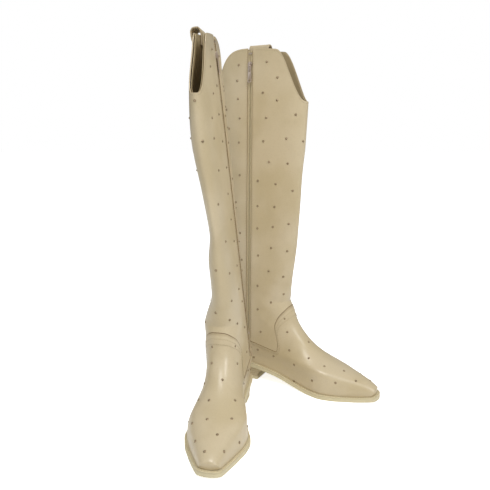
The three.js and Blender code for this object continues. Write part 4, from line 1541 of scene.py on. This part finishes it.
def arc(
    cx: float, cy: float, radius: float, start: float, end: float, count: int
) -> list[tuple[float, float]]:
    """Points of an arc, with angles in degrees.

    Args:
        cx: centre.
        cy: centre.
        radius: radius.
        start: first angle.
        end: last angle.
        count: steps.

    Returns:
        The points.
    """
    angles = (math.radians(mix(start, end, i / count)) for i in range(count + 1))
    return [(cx + radius * math.cos(a), cy + radius * math.sin(a)) for a in angles]


def ring(cx: float, cy: float, radius: float, count: int = 20) -> list[tuple[float, float]]:
    """Points of a full circle."""
    return arc(cx, cy, radius, 0, 360, count)[:-1]


TAPE_DEPTH = 1.2  # from the leather's face down to the tapes
TAPE_REACH = 9.5  # from the zip's line to the outer edge of a tape
TAPE_START = 7  # the tapes start this much below the slot
COIL_PITCH, COIL_OFFSET, COIL_LEAN = 1.45, 1.75, 12  # the lean in degrees
COIL_LOOP = (0.62, 0.62, 1.75, 1)  # how a round bead is drawn out into a loop
FRONT_PLATE, FRONT_PLATE_OUT = 1.4, 0.5  # the slider's two plates: how thick, and how far out
BACK_PLATE, BACK_PLATE_OUT = 0.9, -3.7
BAIL_SQUASH = 0.62
PULLER_OUT, LEAF_RADIUS = 2.15, 4


@dataclass(frozen=True)
class Zip:
    """Nylon coil zip: two tapes with their rows of coil, and a cast slider with a punched puller."""

    boot: Boot

    def build(self) -> None:
        """Makes the tapes, the coils, the slider and the puller."""
        boot, body = self.boot, self.boot.node("boot")
        start, end = zip_level(ZIP_BOTTOM - TAPE_START), level_of(ZIP_TOP)
        for name, side in (("front", 1), ("back", -1)):

            def spot(u: float, v: float) -> tuple[Vector, Vector]:
                """Place and outward direction on a tape."""
                level = mix(start, end, v)
                reach = mix(COIL_GAP / 2, TAPE_REACH, u)
                return boot.spot(turn_at(ZIP_X + side * reach, level), level, -TAPE_DEPTH)

            bm = slab(spot, 8, 200, 0.9, 0.15, (40, 504))
            node = boot.node(f"zip_tape_{name}")
            piece(bm, f"{node}_cloth", Finish.TAPE, body, [node])
        self.coils(start, end)
        self.slider()
        self.puller()

    def coils(self, start: float, end: float) -> None:
        """Each row is a chain of leaning loops; the two rows mesh half a pitch apart.

        Args:
            start: level of the lower end.
            end: level of the upper end.
        """
        loop = lathe([(0, -1), (0.55, -0.8), (0.85, -0.3), (0.9, 0.3), (0.6, 0.8), (0, 1)], 7)
        bm = bmesh.new()
        count = 200
        for side, shift in ((1, 0), (-1, 0.5)):
            line = [
                self.boot.spot(turn_at(ZIP_X + side * COIL_OFFSET, level), level, -TAPE_DEPTH - 0.1)
                for level in (mix(start, end, (i + shift / 3) / count) for i in range(count + 1))
            ]
            lean = Matrix.Rotation(math.radians(90 + COIL_LEAN * side), 4, "X")
            lay = lean @ Matrix.Diagonal(COIL_LOOP)
            for at in spaced(line, COIL_PITCH):
                stamp(bm, loop, at @ lay)
        piece(bm, self.boot.node("zip_coils"), Finish.COIL, self.boot.node("boot"), sharp=60)

    def slider(self) -> None:
        """Two shield-shaped plates and the bail that holds the puller."""
        boot = self.boot
        at = boot.in_zip(SLIDER_HEIGHT)
        # Plates lie in the frame's X and Z (up); their thickness is along Y (out).
        stand = Matrix.Rotation(math.pi / 2, 4, "X")
        shield = [
            (-2.6, -5), (2.6, -5), *arc(2.6, 2.2, 1.4, -40, 60, 6), *arc(0, 3.2, 1.8, 60, 120, 6),
            *arc(-2.6, 2.2, 1.4, 120, 220, 6),
        ]
        bm = plate([shield], FRONT_PLATE, 0.4)
        move = Matrix.Translation((0, FRONT_PLATE_OUT * MM, 0))
        bmesh.ops.transform(bm, matrix=move @ stand, verts=bm.verts)
        back = plate([shield], BACK_PLATE, 0.2)
        move = Matrix.Translation((0, BACK_PLATE_OUT * MM, 0))
        bmesh.ops.transform(back, matrix=move @ stand, verts=back.verts)
        # The bail arches over the puller's bar.
        outer = [(-3.5, 0.9), *arc(0, 1.8, 3.5, 180, 0, 14), (3.5, 0.9)]
        inner = [(2.5, 0.9), *arc(0, 1.8, 2.5, 0, 180, 14), (-2.5, 0.9)]
        squat = [(x, 0.9 + (y - 0.9) * BAIL_SQUASH) for x, y in outer + inner]
        bail = plate([squat], 2.2, 0.35)
        swap = Matrix(((0, 0, 1, 0), (0, 1, 0, 0), (1, 0, 0, 0), (0, 0, 0, 1)))
        bmesh.ops.transform(bail, matrix=swap, verts=bail.verts)
        for extra in (back, bail):
            mesh = bpy.data.meshes.new("part")
            extra.to_mesh(mesh)
            extra.free()
            bm.from_mesh(mesh)
        bmesh.ops.transform(bm, matrix=at, verts=bm.verts)
        node = boot.node("zip_slider")
        piece(bm, f"{node}_casting", Finish.NICKEL, boot.node("slider"), [node])

    def puller(self) -> None:
        """A flat leaf with a window for the bail and two holes."""
        boot = self.boot
        at = boot.in_zip(SLIDER_HEIGHT) @ Matrix.Translation((0, PULLER_OUT * MM, 0))
        at = at @ Matrix.Rotation(math.pi / 2, 4, "X")
        tip = LEAF_RADIUS + 0.55 - PULLER_LENGTH
        outline = [
            (-3.2, 0.3), (-3.2, -5), (-3.0, -10), (-3.3, tip + 6.5), *arc(0, tip, LEAF_RADIUS, 170, 370, 16),
            (3.3, tip + 6.5), (3.0, -10), (3.2, -5), (3.2, 0.3), (2.9, 0.55), (-2.9, 0.55),
        ]
        window = [(-1.6, -0.55), (1.6, -0.55), (1.6, -4.5), (-1.6, -4.5)]
        bm = plate([outline, window, ring(0, -11.5, 1.1, 14), ring(0, tip, 1.9)], 1.1, 0.22)
        bmesh.ops.transform(bm, matrix=at, verts=bm.verts)
        node = boot.node("zip_puller")
        piece(bm, f"{node}_plate", Finish.NICKEL, boot.node("puller"), [node])


# --- the bottom ---


HEEL_INSET, HEEL_TAPER = 1.5, 3  # in from the sole's edge at the seat, and more at the ground


@dataclass(frozen=True)
class Bottom:
    """Outsole, welt, footbed and the stacked heel with its top lift."""

    boot: Boot

    def edge(self, x: float, side: int, margin: float, height: float) -> Vector:
        """World place by the sole's edge, at a height over its underside."""
        y = toe_swing(x) + side * sole_half_width(x, side, margin)
        return self.boot.world(Vector((x, y, sole_z(x) + height)))

    def plate(self, margin: float, low: float, high: float, rim: float) -> bmesh.types.BMesh:
        """A plate that follows the sole, between two heights above its underside.

        Args:
            margin: in from the sole's edge.
            low: height of its underside.
            high: height of its top.
            rim: radius of its edges.

        Returns:
            The mesh.
        """
        first, last = margin + 0.02, SOLE_LENGTH - margin - 0.02

        def spot(u: float, v: float) -> tuple[Vector, Vector]:
            """Place on the top of the plate."""
            x = mix(first, last, (1 - math.cos(math.pi * v)) / 2)
            return self.edge(x, 1, margin, high).lerp(self.edge(x, -1, margin, high), u), Vector((0, 0, 1))

        return slab(spot, 28, 150, high - low, rim, (80, 278))

    def build(self) -> None:
        """Makes the outsole, footbed, welt and heel."""
        boot, body = self.boot, self.boot.node("boot")
        bm = self.plate(0, 0, OUTSOLE + 0.05, 0.5)
        piece(bm, boot.node("outsole_moulding"), Finish.RUBBER, body, [boot.node("outsole")])
        bm = self.plate(WELT_MARGIN + WALL + 3.5, FOOTBED_BOTTOM, FOOTBED_BOTTOM + FOOTBED, 0.6)
        piece(bm, boot.node("footbed_leather"), Finish.LINING, body, [boot.node("footbed")])

        def welt_spot(u: float, v: float, rise: float = 0) -> tuple[Vector, Vector]:
            """Place on the top of the welt, u being the way round and v the way in."""
            turn = 2 * math.pi * u
            side = 1 if u < 0.5 else -1
            margin = mix(0, WELT_WIDTH, v)
            x = mix(margin + 0.02, SOLE_LENGTH - margin - 0.02, (1 - math.cos(turn)) / 2)
            return self.edge(x, side, margin, OUTSOLE + GAP + WELT + rise), Vector((0, 0, 1))

        bm = slab(welt_spot, 320, 5, WELT + GAP, 0.5, (700, 12), joined=True)
        piece(bm, boot.node("welt_strip"), Finish.WELT, body, [boot.node("welt")])
        bm = bmesh.new()
        sew(bm, [welt_spot(i / 600, 2.1 / WELT_WIDTH, 0.02) for i in range(601)], 4.2, 3.1, 0.8)
        piece(bm, boot.node("welt_stitching"), Finish.THREAD, body)
        self.heel()

    def heel_ring(self, share: float, inset: float, z_at: Callable[[float], float]) -> list[Vector]:
        """Outline of the heel at a share of its height: round behind, straight at the breast.

        Args:
            share: 0 at the ground, 1 at the seat.
            inset: in from its face.
            z_at: height for a distance from the heel.

        Returns:
            World places in order round it.
        """
        back = HEEL_INSET + HEEL_TAPER * (1 - share) + inset
        front = BREAST_X + BREAST_SWEEP * share**2 - inset
        count = 26

        def corner(side: int, s: float) -> Vector:
            """A corner of one side, s being 0 at the back and 1 at the breast."""
            x = mix(back, front, 1 - math.cos(math.pi / 2 * s))
            width = (side_width(x, side) - back) * round_end(x - back, HEEL_RADIUS)
            return self.boot.world(Vector((x, side * width, z_at(x))))

        shares = [i / count for i in range(1, count + 1)]
        breast = 12
        inner, outer = corner(1, 1), corner(-1, 1)
        across = [inner.lerp(outer, i / breast) for i in range(1, breast)]
        outside = [corner(-1, s) for s in reversed(shares)]
        return [corner(1, s) for s in shares] + across + outside + [corner(1, 0)]

    def stack(self, rings: Sequence[Sequence[Vector]]) -> bmesh.types.BMesh:
        """A closed body through a row of rings, each grown from the one below.

        Args:
            rings: world places, as many in each.

        Returns:
            The mesh.
        """
        bm = bmesh.new()
        loop = bmesh.ops.create_circle(bm, cap_ends=True, segments=len(rings[0]), radius=MM)["verts"]
        for vert, place in zip(loop, rings[0]):
            vert.co = place
        top = next(iter(bm.faces))
        for ring_ in rings[1:]:
            first = {v: i for i, v in enumerate(loop)}
            places = [first[v] for v in top.verts]
            grown = bmesh.ops.extrude_face_region(bm, geom=[top], use_keep_orig=len(bm.faces) == 1)
            top = next(g for g in grown["geom"] if isinstance(g, bmesh.types.BMFace))
            loop = [None] * len(places)
            for vert, index in zip(top.verts, places):
                loop[index] = vert
                vert.co = ring_[index]
        return bm

    def heel(self) -> None:
        """Makes the stack, with a groove between its layers, and the top lift."""
        boot, body = self.boot, self.boot.node("boot")
        layers = 5
        rings = []
        for i in range(layers):
            for at, inset in ((0.0, 0.22), (0.12, 0), (0.88, 0), (1.0, 0.22)):
                share = (i + at) / layers
                rings.append(
                    self.heel_ring(share, inset, lambda x, s=share: mix(TOP_LIFT + GAP, sole_z(x) - GAP, s))
                )
        bm = self.stack(rings)
        piece(bm, boot.node("heel_stack"), Finish.HEEL, body, [boot.node("heel_block")])
        rings = [self.heel_ring(0, 0.6, lambda x: 0)]
        for height, inset in ((0.6, 0), (TOP_LIFT - 0.4, 0), (TOP_LIFT, 0.4)):
            rings.append(self.heel_ring(0, inset, lambda x, h=height: h))
        bm = self.stack(rings)
        piece(bm, boot.node("top_lift_rubber"), Finish.RUBBER, body, [boot.node("top_lift")])


# --- what the frame brings, the floor, the light and the view ---

CARRIED = {
    "toe_puff": Finish.BOARD, "heel_stiffener": Finish.BOARD, "cork_filler": Finish.BOARD,
    "insole_board": Finish.BOARD, "shank": Finish.STEEL, "heel_screw": Finish.STEEL,
    "zip_guard": Finish.LINING, "zip_top_stop_front": Finish.NICKEL,
    "zip_top_stop_back": Finish.NICKEL, "zip_bottom_stop": Finish.NICKEL,
}


def dress_carried(boot: Boot) -> None:
    """Gives each CAD piece that stays its real finish.

    Args:
        boot: the boot.
    """
    for name, finish in CARRIED.items():
        mesh = bpy.data.objects[boot.node(name)].data
        mesh.materials.clear()
        mesh.materials.append(finish.material)


FLOOR_DROP = 0.0003  # keeps the floor clear of the top lifts


def build_stage() -> None:
    """A pale floor with no edge in view."""
    bm = bmesh.new()
    bmesh.ops.create_grid(bm, x_segments=4, y_segments=4, size=20)
    mesh = bpy.data.meshes.new("floor")
    bm.to_mesh(mesh)
    bm.free()
    mesh.materials.append(Finish.PAPER.material)
    floor = bpy.data.objects.new("floor", mesh)
    floor.location.z = -FLOOR_DROP
    bpy.context.scene.collection.objects.link(floor)


LIGHT_TARGET = Vector((0, 0, 0.3))


@dataclass(frozen=True)
class Softbox:
    """A rectangular studio light that faces the boots."""

    name: str
    place: tuple[float, float, float]
    size: tuple[float, float]
    power: float

    def build(self) -> None:
        """Makes the light."""
        data = bpy.data.lights.new(self.name, "AREA")
        data.shape = "RECTANGLE"
        data.size, data.size_y = self.size
        data.energy = self.power
        lamp = bpy.data.objects.new(self.name, data)
        lamp.location = self.place
        aim = LIGHT_TARGET - Vector(self.place)
        lamp.rotation_euler = aim.to_track_quat("-Z", "Y").to_euler()
        bpy.context.scene.collection.objects.link(lamp)


LIGHTS = (
    Softbox("key", (1.5, -1.5, 2.2), (0.5, 1.4), 24),
    Softbox("fill", (-2.2, -0.9, 1.5), (0.5, 1.6), 2.5),
    Softbox("top", (-0.2, -1.0, 2.6), (0.9, 0.9), 24),
)
SWEEP_LIGHT = (0.06, 0.6)  # from level, and from straight above


def build_light() -> None:
    """Three softboxes in front of a white sweep."""
    for box in LIGHTS:
        box.build()
    world = bpy.data.worlds.new("studio")
    world.use_nodes = True
    tree = world.node_tree
    background = tree.nodes["Background"]
    background.inputs["Color"].default_value = linear("#ffffff")
    # The sweep shows as white, and lights the boots less than that: least from the sides.
    rays = tree.nodes.new("ShaderNodeLightPath")
    level = tree.nodes.new("ShaderNodeMapRange")
    axes = tree.nodes.new("ShaderNodeSeparateXYZ")
    tree.links.new(tree.nodes.new("ShaderNodeTexCoord").outputs["Generated"], axes.inputs["Vector"])
    sky = tree.nodes.new("ShaderNodeMapRange")
    sky.inputs["To Min"].default_value, sky.inputs["To Max"].default_value = SWEEP_LIGHT
    tree.links.new(axes.outputs["Z"], sky.inputs["Value"])
    tree.links.new(sky.outputs["Result"], level.inputs["To Min"])
    tree.links.new(rays.outputs["Is Camera Ray"], level.inputs["Value"])
    tree.links.new(level.outputs["Result"], background.inputs["Strength"])
    scene = bpy.context.scene
    scene.world = world
    scene.view_settings.view_transform = "Standard"


LENS, SENSOR = 40.64, 36  # millimetres
CAMERA_PLACE = (-0.0712, -0.8463, 0.4338)
CAMERA_TILT = 10.7  # degrees down from level


def build_camera() -> None:
    """A camera a little over the boots, in front of them."""
    data = bpy.data.cameras.new("view")
    data.lens, data.sensor_width = LENS, SENSOR
    camera = bpy.data.objects.new("view", data)
    camera.location = CAMERA_PLACE
    camera.rotation_euler = (math.radians(90 - CAMERA_TILT), 0, 0)
    bpy.context.scene.collection.objects.link(camera)
    bpy.context.scene.camera = camera


def main() -> None:
    """Makes both boots."""
    logging.basicConfig(level=logging.INFO)
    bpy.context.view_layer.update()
    build_camera()
    build_stage()
    build_light()
    for side in Side:
        boot = Boot(side)
        Upper(boot).build()
        Studs(boot, STUD_PLACES[side]).build()
        Strap(boot).build()
        Zip(boot).build()
        Bottom(boot).build()
        dress_carried(boot)
        LOG.info("%s boot done", side.label)


if __name__ == "__main__":
    main()
